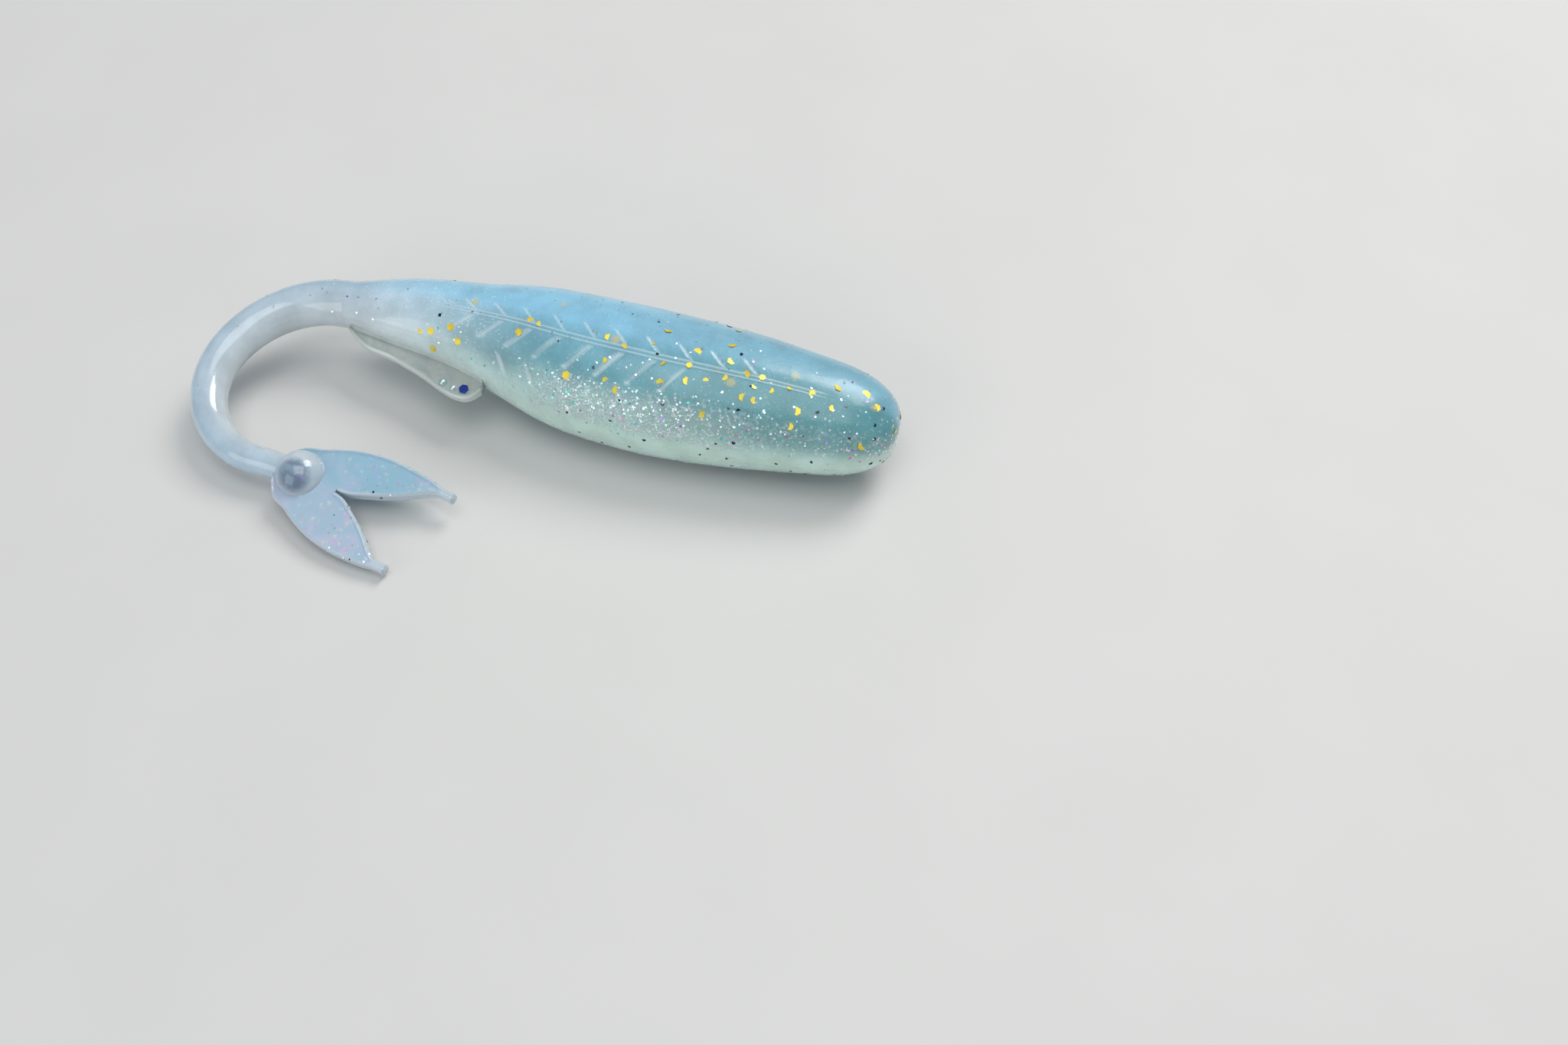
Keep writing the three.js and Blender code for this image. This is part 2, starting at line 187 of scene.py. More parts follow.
@dataclass(frozen=True)
class Spine:
    """The worm's middle line and its round sections, in millimetres.

    A station is the distance from the nose: along x to the tail root, then along the curled stem.
    """

    nose_x: float = 22.3
    root_x: float = -29.3
    root_y: float = 2.05
    tip_allowance: float = 0.11
    rounding: float = 7.4
    bluntness: float = 2.8
    squareness: float = 2.2
    width_ratio: float = 0.86
    round_from: float = -3.0
    stem_start_radius: float = 2.2
    stem_end_radius: float = 1.15
    ball_radius: float = 2.15
    stem_parts: int = 6
    arcs: tuple[Arc, ...] = (
        Arc(9.84, math.radians(73)),
        Arc(7.7, math.radians(105)),
        Arc(21.0, math.radians(-11.2)),
    )
    depths: tuple[tuple[float, float], ...] = (
        (22.5, 4.3), (16.7, 5.0), (8.4, 6.05), (-2, 6.5), (-9, 6.05),
        (-17.6, 4.2), (-23, 3.4), (-29.3, 2.2),
    )
    middles: tuple[tuple[float, float], ...] = (
        (22.5, -0.2), (12, 0), (0, 0.15), (-7, 0.6), (-14, 1.5), (-20, 2.05), (-29.3, 2.05),
    )

    @property
    def body_length(self) -> float:
        """Station of the tail root."""
        return self.nose_x - self.root_x

    @property
    def stem_length(self) -> float:
        """Length of the stem's line to the ball's middle."""
        return sum(arc.length for arc in self.arcs)

    @property
    def part_length(self) -> float:
        """Length of one jointed part of the stem."""
        return (self.stem_length - self.ball_radius) / self.stem_parts

    def half_depth(self, x: np.ndarray) -> np.ndarray:
        """Half of the body's height from belly to back at x."""
        tip = self.nose_x + self.tip_allowance
        share = np.clip((x - (tip - self.rounding)) / self.rounding, 0, 1)
        closing = (1 - share**self.bluntness) ** (1 / self.bluntness)
        return smooth_line(self.depths)(x) * closing

    def half_width(self, x: np.ndarray) -> np.ndarray:
        """Half of the body's width from flank to flank at x."""
        rounder = smooth_step(-x, -self.round_from, -self.root_x)
        return self.half_depth(x) * (self.width_ratio + (1 - self.width_ratio) * rounder)

    def middle(self, x: np.ndarray) -> np.ndarray:
        """Height of the body's middle at x."""
        return smooth_line(self.middles)(x)

    def belly(self, x: np.ndarray) -> np.ndarray:
        """Height of the belly's lowest line at x."""
        return self.middle(x) - self.half_depth(x)

    def along(self, stations: np.ndarray) -> np.ndarray:
        """The x that a straightened worm would have at each station."""
        return self.nose_x - stations

    def line(self, stations: np.ndarray) -> tuple[np.ndarray, np.ndarray]:
        """Follows the middle line.

        Args:
            stations: Distances from the nose.

        Returns:
            The places in the middle plane as an (n, 2) array, and the headings towards the tail.
        """
        x = np.maximum(self.along(stations), self.root_x)
        places = np.stack([x, self.middle(x)], axis=1)
        headings = np.full(len(stations), math.pi)
        left = np.maximum(stations - self.body_length, 0)
        for arc in self.arcs:
            radius = math.copysign(arc.radius, arc.turn)
            run = np.clip(left, 0, arc.length)
            ahead = headings + run / radius
            places[:, 0] += radius * (np.sin(ahead) - np.sin(headings))
            places[:, 1] -= radius * (np.cos(ahead) - np.cos(headings))
            headings = ahead
            left = left - run
        return places, headings

    def stem_radius(self, stations: np.ndarray) -> np.ndarray:
        """Radius of the stem at each station past the tail root."""
        share = np.clip((stations - self.body_length) / self.stem_length, 0, 1)
        return self.stem_start_radius + (self.stem_end_radius - self.stem_start_radius) * share

    def sections(self, stations: np.ndarray, angles: np.ndarray) -> tuple[np.ndarray, np.ndarray]:
        """Places the worm's round sections.

        Args:
            stations: Distances from the nose, one for each ring.
            angles: Angles round a ring, 0 on the upper flank and a quarter turn on the back.

        Returns:
            Points as (rings, angles, 3) in the mould's frame, and their heights from -1 on the
            belly to 1 on the back as (rings, angles).
        """
        places, headings = self.line(stations)
        x = np.clip(self.along(stations), self.root_x, self.nose_x + self.tip_allowance)
        on_stem = stations > self.body_length
        depth = np.where(on_stem, self.stem_radius(stations), self.half_depth(x))
        width = np.where(on_stem, depth, self.half_width(x))
        rounder = smooth_step(-self.along(stations), 24.0, -self.root_x)
        power = (2 / (self.squareness + (2 - self.squareness) * rounder))[:, None]
        up = signed_power(np.sin(angles)[None, :], power)
        side = signed_power(np.cos(angles)[None, :], power)
        out = np.stack([np.sin(headings), -np.cos(headings)], axis=1)
        points = np.empty((len(stations), len(angles), 3))
        points[..., :2] = places[:, None, :] + out[:, None, :] * (depth[:, None] * up)[..., None]
        points[..., 2] = width[:, None] * side
        return points, up


# ---- node trees ----------------------------------------------------------------------------------

class Wiring:
    """Adds and links the nodes of one tree."""

    def __init__(self, tree: bpy.types.NodeTree) -> None:
        """Keeps the tree that the nodes go in."""
        self.tree = tree

    def node(self, kind: str, settings: Optional[dict] = None, **inputs: object) -> bpy.types.Node:
        """Adds a node.

        Args:
            kind: The node's type name.
            settings: Properties to set on the node.
            inputs: A socket or a value for each input, under the input's name in lower case with
                underscores, or under i0, i1 and so on for the input's number.

        Returns:
            The new node.
        """
        made = self.tree.nodes.new(kind)
        for name, value in (settings or {}).items():
            setattr(made, name, value)
        for name, value in inputs.items():
            self.feed(made, name, value)
        return made

    def feed(self, made: bpy.types.Node, name: str, value: object) -> None:
        """Links or sets one input of a node.

        Args:
            made: The node.
            name: The input's name in lower case with underscores, or i and its number.
            value: A socket to link, or a value to set.
        """
        if name[0] == "i" and name[1:].isdigit():
            socket = made.inputs[int(name[1:])]
        else:
            wanted = name.replace("_", " ")
            found = [s for s in made.inputs if s.name.lower() == wanted and s.enabled]
            socket = found[0]
        if isinstance(value, bpy.types.NodeSocket):
            self.tree.links.new(value, socket)
        elif isinstance(value, tuple) and len(value) == 3 and socket.type == "RGBA":
            socket.default_value = (*value, 1.0)
        else:
            socket.default_value = value

    def math(self, operation: str, *values: object) -> bpy.types.NodeSocket:
        """Result of a math operation on sockets or numbers."""
        inputs = {f"i{number}": value for number, value in enumerate(values)}
        return self.node("ShaderNodeMath", {"operation": operation}, **inputs).outputs[0]

    def times(self, *values: object) -> bpy.types.NodeSocket:
        """Product of several sockets or numbers."""
        product = values[0]
        for value in values[1:]:
            product = self.math("MULTIPLY", product, value)
        return product

    def rest(self, value: object) -> bpy.types.NodeSocket:
        """What is left of 1 after a value."""
        return self.math("SUBTRACT", 1.0, value)


class ShaderWiring(Wiring):
    """Node shorthand for a material."""

    def attribute(self, name: str) -> bpy.types.NodeSocket:
        """A number stored on the mesh's points."""
        return self.node("ShaderNodeAttribute", {"attribute_name": name}).outputs["Fac"]

    def ramp(self, value: object, low: float, high: float, start: float = 0.0, end: float = 1.0,
             smooth: bool = True) -> bpy.types.NodeSocket:
        """Maps a value from low..high to start..end, clamped.

        Args:
            value: The socket to map.
            low: Where the result is start.
            high: Where the result is end.
            start: The result at low.
            end: The result at high.
            smooth: Whether the change eases in and out.

        Returns:
            The mapped value.
        """
        settings = {"interpolation_type": "SMOOTHSTEP" if smooth else "LINEAR"}
        made = self.node("ShaderNodeMapRange", settings, value=value, from_min=low, from_max=high,
                         to_min=start, to_max=end)
        return made.outputs[0]

    def noise(self, scale: float, detail: float = 2.0, distortion: float = 0.0) -> bpy.types.NodeSocket:
        """Noise from 0 to 1 over the object's coordinates, in waves per metre."""
        made = self.node("ShaderNodeTexNoise", {"noise_dimensions": "3D"}, vector=self.object_place(),
                         scale=scale, detail=detail, distortion=distortion)
        return made.outputs[0]

    def cells(self, scale: float) -> bpy.types.Node:
        """Voronoi cells over the object's coordinates, in cells per metre."""
        return self.node("ShaderNodeTexVoronoi", {"feature": "F1"}, vector=self.object_place(),
                         scale=scale)

    def object_place(self) -> bpy.types.NodeSocket:
        """The object's own coordinates."""
        return self.node("ShaderNodeTexCoord").outputs["Object"]

    def mix(self, share: object, first: object, second: object,
            blend: str = "MIX") -> bpy.types.NodeSocket:
        """Mixes two colours.

        Args:
            share: How much of the second shows, as a socket or a number.
            first: A colour or a socket.
            second: A colour or a socket.
            blend: The kind of mixing.

        Returns:
            The mixed colour.
        """
        made = self.node("ShaderNodeMix", {"data_type": "RGBA", "blend_type": blend})
        self.feed(made, "i0", share)
        self.feed(made, "i6", first)
        self.feed(made, "i7", second)
        return made.outputs[2]

    def grey(self, value: object) -> bpy.types.NodeSocket:
        """A grey of this brightness."""
        return self.node("ShaderNodeCombineXYZ", x=value, y=value, z=value).outputs[0]

    def stops(self, value: object, stops: Sequence[tuple[float, Colour]]) -> bpy.types.NodeSocket:
        """Reads a colour off a ramp of (position, colour) stops."""
        made = self.node("ShaderNodeValToRGB", i0=value)
        elements = made.color_ramp.elements
        while len(elements) < len(stops):
            elements.new(0.5)
        for element, (position, colour) in zip(elements, stops):
            element.position = position
            element.color = (*colour, 1.0)
        return made.outputs[0]

    def bump(self, height: object, distance: float, strength: float = 1.0,
             normal: Optional[bpy.types.NodeSocket] = None) -> bpy.types.NodeSocket:
        """A normal bent by a height of 0 to 1, over a distance in metres."""
        made = self.node("ShaderNodeBump", strength=strength, distance=distance, height=height)
        if normal is not None:
            self.feed(made, "normal", normal)
        return made.outputs[0]

    def finish(self, **inputs: object) -> None:
        """Ends the material in one Principled shader with these inputs."""
        shader = self.node("ShaderNodeBsdfPrincipled", **inputs)
        output = self.node("ShaderNodeOutputMaterial")
        self.tree.links.new(shader.outputs[0], output.inputs[0])


def new_material(name: str) -> tuple[bpy.types.Material, ShaderWiring]:
    """Starts an empty node material.

    Args:
        name: The material's name.

    Returns:
        The material and the wiring of its tree.
    """
    material = bpy.data.materials.new(name)
    material.use_nodes = True
    material.node_tree.nodes.clear()
    return material, ShaderWiring(material.node_tree)


# ---- finishes ------------------------------------------------------------------------------------

@dataclass(frozen=True)
class SoftPlastic:
    """The two-colour moulding: pearl-blue back, clear green belly, and a clear milky tail."""

    name: str = "soft_plastic"
    belly_edge: Colour = linear(202, 232, 220)
    belly: Colour = linear(190, 224, 217)
    flank: Colour = linear(104, 163, 172)
    upper_flank: Colour = linear(110, 168, 188)
    back: Colour = linear(134, 192, 220)
    ridge: Colour = linear(142, 199, 226)
    head_flank: Colour = linear(82, 144, 150)
    head_back: Colour = linear(116, 168, 186)
    tail_belly: Colour = linear(228, 238, 242)
    tail_flank: Colour = linear(202, 221, 235)
    # Pale white of the painted highlights on the grooves, the lateral line and the glitter dust, also used
    # for small pale specks.
    tail_back: Colour = linear(200, 226, 244)
    # Pale of the low flank band: partly the crushed silver dust, partly a painted highlight.
    mark: Colour = linear(226, 240, 244)
    pale_dust_and_highlight: Colour = linear(184, 204, 204)
    gold: Colour = linear(214, 190, 92)
    clear_from: float = -6.0
    clear_to: float = -31.5

    def build(self) -> bpy.types.Material:
        """Builds the material.

        Returns:
            The material, which reads the height and along attributes of a skin.
        """
        material, wire = new_material(self.name)
        height, along = wire.attribute("height"), wire.attribute("along")
        swirl = wire.noise(170, detail=3, distortion=1.2)
        wobble = wire.math("MULTIPLY_ADD", swirl, 0.12, -0.06)
        level = wire.math("ADD", wire.math("ADD", height, wobble), 1.0)
        share = wire.times(level, 0.5)
        body = wire.stops(share, [
            (0.0, self.belly_edge), (0.045, self.belly), (0.16, self.flank),
            (0.47, self.upper_flank), (0.60, self.back), (1.0, self.ridge),
        ])
        fore = wire.times(wire.ramp(along, -6, 13), wire.ramp(height, -1.0, -0.85), 0.75)
        head = wire.mix(wire.ramp(height, -0.1, 0.35), self.head_flank, self.head_back)
        body = wire.mix(fore, body, head)
        tail = wire.stops(share, [
            (0.05, self.tail_belly), (0.42, self.tail_flank), (0.85, self.tail_back),
        ])
        held = wire.math("MULTIPLY_ADD", wire.ramp(height, -0.1, 0.4), 7.0, along)
        clearing = wire.ramp(held, self.clear_from, self.clear_to)
        colour = wire.mix(clearing, body, tail)
        cloud = wire.ramp(wire.noise(420, detail=4), 0.3, 0.7, 0.9, 1.08)
        colour = wire.mix(1.0, colour, wire.grey(cloud), "MULTIPLY")
        colour = self.add_sunk_flakes(wire, colour)
        # Painted highlight: the groove walls and floors and the lateral line's two ridges are painted pale.
        colour = wire.mix(wire.times(wire.attribute("mark"), 0.42), colour, self.mark)
        cells = wire.cells(5200).outputs["Color"]
        sparkle = self.sparkle(wire, cells)
        colour = wire.mix(sparkle, colour, cells, "SOFT_LIGHT")
        grain = wire.noise(2600, detail=3)
        rough = wire.ramp(wire.noise(700), 0.3, 0.7, 0.26, 0.42)
        rough = wire.times(rough, wire.ramp(clearing, 0, 1, 1.0, 0.6))
        speck = wire.ramp(wire.noise(5200, detail=1), 0.62, 0.74)
        rear = wire.times(wire.ramp(along, -10, -16), wire.ramp(along, -34, -25))
        specks = wire.times(speck, wire.math("MULTIPLY_ADD", rear, 0.45, 0.2))
        # Small pale specks in the same white, more of them towards the rear.
        colour = wire.mix(specks, colour, self.mark)
        normal = wire.bump(grain, 0.00004, 0.5)
        # A pale band low on the flank: partly the crushed silver dust, partly a painted highlight.
        glints = self.glint_share(wire)
        colour = wire.mix(wire.times(glints, 0.45), colour, self.pale_dust_and_highlight)
        dust_and_glints = wire.times(wire.ramp(wire.noise(3300, detail=4), 0.48, 0.62), glints)
        normal = wire.bump(dust_and_glints, 0.00009, 0.8, normal)
        # Painted glints: pale specks where the dust lies.
        colour = wire.mix(wire.times(dust_and_glints, 0.6), colour, self.mark)
        clarity = wire.ramp(along, self.clear_from - 17, self.clear_to, 0.0, 0.32)
        wire.finish(base_color=colour, roughness=rough, ior=1.46, normal=normal,
                    transmission_weight=clarity, coat_weight=wire.ramp(clearing, 0, 1, 0.5, 1.0),
                    coat_roughness=wire.ramp(clearing, 0, 1, 0.16, 0.05),
                    sheen_weight=0.12, sheen_roughness=0.4, metallic=wire.times(sparkle, 0.5))
        return material

    def add_sunk_flakes(self, wire: ShaderWiring, colour: bpy.types.NodeSocket) -> bpy.types.NodeSocket:
        """Shows gold flakes that lie deep in the plastic as soft pale spots in its colour."""
        height, along = wire.attribute("height"), wire.attribute("along")
        cell = wire.cells(430)
        pick = wire.node("ShaderNodeSeparateColor", color=cell.outputs["Color"]).outputs[0]
        chosen = wire.ramp(pick, 0.42, 0.44)
        near = wire.ramp(cell.outputs["Distance"], 0.24, 0.1)
        upper = wire.times(wire.ramp(height, -0.5, -0.1), wire.ramp(height, 0.6, 0.3))
        share = wire.times(wire.times(chosen, near), wire.times(upper, wire.ramp(along, -24, -14)))
        return wire.mix(wire.times(share, 0.55), colour, self.gold)

    def glint_share(self, wire: ShaderWiring) -> bpy.types.NodeSocket:
        """Share of the crushed holographic dust and of a painted pale highlight, in a band low on the
        flank.
        """
        height, along = wire.attribute("height"), wire.attribute("along")
        band = wire.times(wire.ramp(height, -0.99, -0.93), wire.ramp(height, -0.45, -0.75))
        run = wire.times(wire.ramp(along, -13, -5), wire.ramp(along, 4, 14, 1.0, 0.3))
        return wire.times(band, run)

    def sparkle(self, wire: ShaderWiring, cells: bpy.types.NodeSocket) -> bpy.types.NodeSocket:
        """Share of the fine glitter dust in the cells of this colour, densest behind the head."""
        pick = wire.node("ShaderNodeSeparateColor", color=cells).outputs[1]
        return wire.times(wire.ramp(pick, 0.8, 0.86), self.glint_share(wire))


@dataclass(frozen=True)
class ClearPlastic:
    """Clear plastic of the fork, the ball and the keel, with cloudy tinted patches, a faint glitter, and a
    painted patch of dark refraction on the ball.
    """

    name: str
    colour: Colour
    cloud: Colour
    clarity: float
    second: Optional[Colour] = None
    rim: Colour = linear(222, 230, 234)
    dents: float = 0.00005
    roughness: float = 0.1

    def build(self) -> bpy.types.Material:
        """Builds the material.

        Returns:
            The material. The rim attribute is 1 on the piece's pale edges, and the
            tint attribute is 1 where its second colour shows: the upper lobe's
            own colour on the fork, and a painted slate patch of dark refraction on the ball.
        """
        material, wire = new_material(self.name)
        patches = wire.ramp(wire.noise(320, detail=3, distortion=0.8), 0.38, 0.66)
        colour = wire.mix(patches, self.colour, self.cloud)
        if self.second:
            # Second colour: the upper lobe's own colour on the fork, and a painted slate patch of dark
            # refraction on the ball.
            tint = wire.times(wire.attribute("tint"), wire.ramp(patches, 0, 1, 1.0, 0.7))
            colour = wire.mix(tint, colour, self.second)
        dust_and_glints = wire.cells(3600)
        pick = wire.node("ShaderNodeSeparateColor", color=dust_and_glints.outputs["Color"]).outputs[0]
        glint = wire.ramp(pick, 0.86, 0.9)
        colour = wire.mix(wire.times(glint, 0.55), colour, dust_and_glints.outputs["Color"], "SOFT_LIGHT")
        rim = wire.attribute("rim")
        colour = wire.mix(rim, colour, self.rim)
        rough = wire.ramp(wire.noise(900), 0.3, 0.7, self.roughness, self.roughness + 0.12)
        clear = wire.times(wire.ramp(rim, 0, 1, 1.0, 0.55), self.clarity)
        normal = wire.bump(wire.noise(800, detail=3), self.dents, 0.5)
        wire.finish(base_color=colour, roughness=rough, ior=1.46, normal=normal,
                    transmission_weight=clear, coat_weight=0.6, coat_roughness=0.05)
        return material


@dataclass(frozen=True)
class FlakeFoil:
    """Metal foil of one kind of glitter flake."""

    name: str
    colour: Colour
    shade: Colour
    metallic: float = 0.9
    roughness: float = 0.22

    def build(self) -> bpy.types.Material:
        """Builds the material, which varies from flake to flake."""
        material, wire = new_material(self.name)
        spread = wire.ramp(wire.noise(900, detail=1), 0.35, 0.65)
        colour = wire.mix(spread, self.colour, self.shade)
        scuff = wire.ramp(wire.noise(9000, detail=2), 0.3, 0.7, self.roughness, self.roughness + 0.18)
        normal = wire.bump(wire.noise(14000), 0.00001, 0.6)
        wire.finish(base_color=colour, metallic=self.metallic, roughness=scuff, normal=normal,
                    coat_weight=0.4, coat_roughness=0.08)
        return material


@dataclass(frozen=True)
class SeamFace:
    """Inner faces where two stretches of skin meet, which let everything through."""

    name: str = "inner_seam_face"

    def build(self) -> bpy.types.Material:
        """Builds the clear material."""
        material, wire = new_material(self.name)
        wire.finish(base_color=(0.8, 0.85, 0.88), alpha=0.0, roughness=0.3, specular_ior_level=0.0)
        return material


@dataclass(frozen=True)
class Floor:
    """A plain pale floor."""

    name: str = "pale_floor"
    colour: Colour = linear(214, 214, 212)
    size: float = 8.0

    def build(self) -> bpy.types.Object:
        """Builds the floor and marks it as stage."""
        material, wire = new_material(self.name)
        tone = wire.ramp(wire.noise(60, detail=2), 0.3, 0.7, 0.99, 1.01)
        wire.finish(base_color=wire.mix(1.0, self.colour, wire.grey(tone), "MULTIPLY"), roughness=0.6)
        half = self.size / 2
        mesh = bpy.data.meshes.new(self.name)
        corners = [(-half, -half, 0), (half, -half, 0), (half, half, 0), (-half, half, 0)]
        mesh.from_pydata(corners, [], [(0, 1, 2, 3)])
        mesh.materials.append(material)
        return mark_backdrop(link(self.name, mesh))


class Material(Enum):
    """The finishes that pieces are dressed in."""

    BODY = SoftPlastic()
    SEAM = SeamFace()
    FORK = ClearPlastic("fork_plastic", linear(184, 213, 234), linear(210, 216, 240), 0.25,
                        second=linear(162, 206, 228), rim=linear(206, 221, 231))
    # The ball's second colour is a painted slate patch of dark refraction.
    BALL = ClearPlastic("ball_plastic", linear(226, 240, 248), linear(206, 224, 238), 0.3, dents=0.0002,
                        roughness=0.03, second=linear(124, 150, 176))
    KEEL = ClearPlastic("keel_plastic", linear(224, 234, 230), linear(198, 214, 210), 0.6,
                        rim=linear(232, 242, 236))
    GOLD = FlakeFoil("gold_flake", linear(252, 232, 84), linear(232, 204, 56), metallic=0.3,
                     roughness=0.3)
    PEPPER = FlakeFoil("pepper_flake", linear(22, 30, 44), linear(40, 30, 70), metallic=0.4)
    SILVER = FlakeFoil("silver_flake", linear(232, 240, 244), linear(190, 222, 226))
    TEAL = FlakeFoil("teal_flake", linear(70, 205, 195), linear(120, 225, 190))
    VIOLET = FlakeFoil("violet_flake", linear(170, 110, 225), linear(225, 130, 190))
    BLUE = FlakeFoil("blue_flake", linear(20, 52, 150), linear(28, 70, 180), metallic=0.5)

    @property
    def made(self) -> bpy.types.Material:
        """The Blender material, built the first time it is asked for."""
        return bpy.data.materials.get(self.value.name) or self.value.build()


# ---- geometry node trees -------------------------------------------------------------------------

class GeometryWiring(Wiring):
    """Node shorthand for a geometry tree with named inputs."""

    def __init__(self, name: str) -> None:
        """Starts a tree with a geometry input and output."""
        tree = bpy.data.node_groups.new(name, "GeometryNodeTree")
        super().__init__(tree)
        tree.interface.new_socket("Geometry", in_out="INPUT", socket_type="NodeSocketGeometry")
        tree.interface.new_socket("Geometry", in_out="OUTPUT", socket_type="NodeSocketGeometry")
        self.entry = tree.nodes.new("NodeGroupInput")
        self.exit = tree.nodes.new("NodeGroupOutput")

    def ask(self, name: str, kind: str = "NodeSocketFloat") -> bpy.types.NodeSocket:
        """Adds a named input to the tree and returns its socket."""
        self.tree.interface.new_socket(name, in_out="INPUT", socket_type=kind)
        return self.entry.outputs[name]

    def number(self, name: str, kind: str = "FLOAT") -> bpy.types.NodeSocket:
        """A number, or a vector under FLOAT_VECTOR, stored on the mesh's points."""
        made = self.node("GeometryNodeInputNamedAttribute", {"data_type": kind}, name=name)
        return made.outputs["Attribute"]

    def ease(self, value: object, low: object, high: object) -> bpy.types.NodeSocket:
        """Rises smoothly from 0 at low to 1 at high."""
        settings = {"interpolation_type": "SMOOTHSTEP", "data_type": "FLOAT"}
        made = self.node("ShaderNodeMapRange", settings, value=value, from_min=low, from_max=high)
        return made.outputs[0]


@dataclass(frozen=True)
class StrokeBand:
    """One row of the herringbone strokes on the flanks."""

    low: float
    high: float
    start: float
    lean: float
    width: float
    depth: float
    first_x: float
    last_x: float


@dataclass(frozen=True)
class Relief:
    """The flank grooves, the lateral line and the mould seam, cut into a skin by geometry nodes."""

    pitch: float = 2.9
    line_height: float = -0.06
    line_gap: float = 0.032
    line_rise: float = 0.05
    seam_rise: float = 0.10
    edge: float = 0.14
    band_fade: float = 0.035
    ridge_edge: tuple[float, float] = (0.004, 0.02)
    seed_step: float = 57.0
    bands: tuple[StrokeBand, ...] = (
        StrokeBand(0.0, 0.19, 0.0, -6.7, 0.3, 0.08, -19.0, 11.0),
        StrokeBand(-0.5, -0.14, -0.1, 5.0, 0.5, 0.12, -17.0, 4.0),
        StrokeBand(-0.86, -0.64, -0.58, -4.4, 0.45, 0.06, -13.5, 4.0),
    )

    def build(self) -> bpy.types.NodeTree:
        """Builds the tree.

        Returns:
            A tree with inputs Pitch, Stroke Depth, Line Rise, Seam Rise and Skin.
        """
        wire = GeometryWiring("flank_relief")
        pitch = wire.ask("Pitch")
        stroke_depth = wire.ask("Stroke Depth")
        line_rise = wire.ask("Line Rise")
        seam_rise = wire.ask("Seam Rise")
        skin = wire.ask("Skin", "NodeSocketMaterial")
        along, height = wire.number("along"), wire.number("height")
        grooves = 0.0
        for number, band in enumerate(self.bands):
            strokes = self.strokes(wire, along, height, pitch, band, number)
            grooves = wire.math("ADD", grooves, strokes)
        cut = wire.times(grooves, stroke_depth, -1.0)
        line = self.line(wire, along, height)
        raised = wire.math("ADD", cut, wire.times(line, line_rise))
        raised = wire.math("ADD", raised, wire.times(self.seam(wire, along), seam_rise))
        # Painted highlight mask: pale on the groove walls, paler on the groove floors, and on the lateral
        # line's ridges.
        depth = wire.math("MINIMUM", wire.math("DIVIDE", grooves, self.bands[1].depth), 1.0)
        edges = wire.times(depth, wire.rest(depth), 3.0)
        highlight_share = wire.math("MAXIMUM", wire.math("MULTIPLY_ADD", depth, 0.4, edges), line)
        noted = wire.node("GeometryNodeStoreNamedAttribute", {"data_type": "FLOAT", "domain": "POINT"},
                          geometry=wire.entry.outputs["Geometry"], name="mark", value=highlight_share)
        out = wire.number("out", "FLOAT_VECTOR")
        scaled = wire.node("ShaderNodeVectorMath", {"operation": "SCALE"}, vector=out,
                           scale=wire.times(raised, MM))
        moved = wire.node("GeometryNodeSetPosition", geometry=noted.outputs[0], offset=scaled.outputs[0])
        whole = wire.node("GeometryNodeRealizeInstances", geometry=moved.outputs[0])
        dressed = wire.node("GeometryNodeSetMaterial", geometry=whole.outputs[0], material=skin)
        wire.tree.links.new(dressed.outputs[0], wire.exit.inputs[0])
        return wire.tree

    def strokes(self, wire: GeometryWiring, along: object, height: object, pitch: object,
                band: StrokeBand, number: int) -> bpy.types.NodeSocket:
        """Depth of one band's strokes.

        Args:
            wire: The tree's wiring.
            along: The distance along the worm, in millimetres.
            height: The height on the flank, -1 to 1.
            pitch: The distance from stroke to stroke.
            band: The band's sizes.
            number: The band's number, which seeds its unevenness.

        Returns:
            The depth in millimetres.
        """
        rise = wire.math("SUBTRACT", height, band.start)
        shifted = wire.math("SUBTRACT", along, wire.times(rise, band.lean))
        phase = wire.math("DIVIDE", shifted, pitch)
        offset = wire.math("ABSOLUTE", wire.math("SUBTRACT", wire.math("FRACT", phase), 0.5))
        distance = wire.times(offset, pitch)
        half = band.width / 2
        groove = wire.rest(wire.ease(distance, half - self.edge / 2, half + self.edge / 2))
        fade = self.band_fade
        inside = wire.times(
            wire.ease(height, band.low - fade, band.low + fade),
            wire.rest(wire.ease(height, band.high - fade, band.high + fade)),
            wire.ease(along, band.first_x - 1.5, band.first_x + 1.5),
            wire.rest(wire.ease(along, band.last_x - 2.5, band.last_x + 1.0)),
        )
        stroke = wire.math("ADD", wire.math("FLOOR", phase), number * self.seed_step)
        random = wire.node("ShaderNodeTexWhiteNoise", {"noise_dimensions": "1D"}, w=stroke)
        uneven = wire.math("MULTIPLY_ADD", random.outputs[0], 0.5, 0.7)
        return wire.times(groove, inside, uneven, band.depth)

    def line(self, wire: GeometryWiring, along: object, height: object) -> bpy.types.NodeSocket:
        """Share of the two fine ridges of the lateral line."""
        from_line = wire.math("ABSOLUTE", wire.math("SUBTRACT", height, self.line_height))
        from_ridge = wire.math("ABSOLUTE", wire.math("SUBTRACT", from_line, self.line_gap))
        ridge = wire.rest(wire.ease(from_ridge, *self.ridge_edge))
        inside = wire.times(wire.ease(along, -21.0, -16.0),
                            wire.rest(wire.ease(along, 14.0, 17.0)))
        return wire.times(ridge, inside)

    def seam(self, wire: GeometryWiring, along: object) -> bpy.types.NodeSocket:
        """Share of the ragged flash that stands on the mould's parting line."""
        noise = wire.node("ShaderNodeTexNoise", {"noise_dimensions": "1D"}, w=wire.times(along, 1.7),
                          scale=1.0, detail=4.0, roughness=0.7)
        ragged = wire.ease(noise.outputs[0], 0.38, 0.72)
        return wire.times(ragged, wire.number("seam"))


@dataclass(frozen=True)
class FlakeKind:
    """One kind of flake that a scatter lays on a skin."""

    foil: Material
    share: str
    radius: float
    per_square_mm: float
    seed: int
    apart: float = 0.0
    sides: int = 6


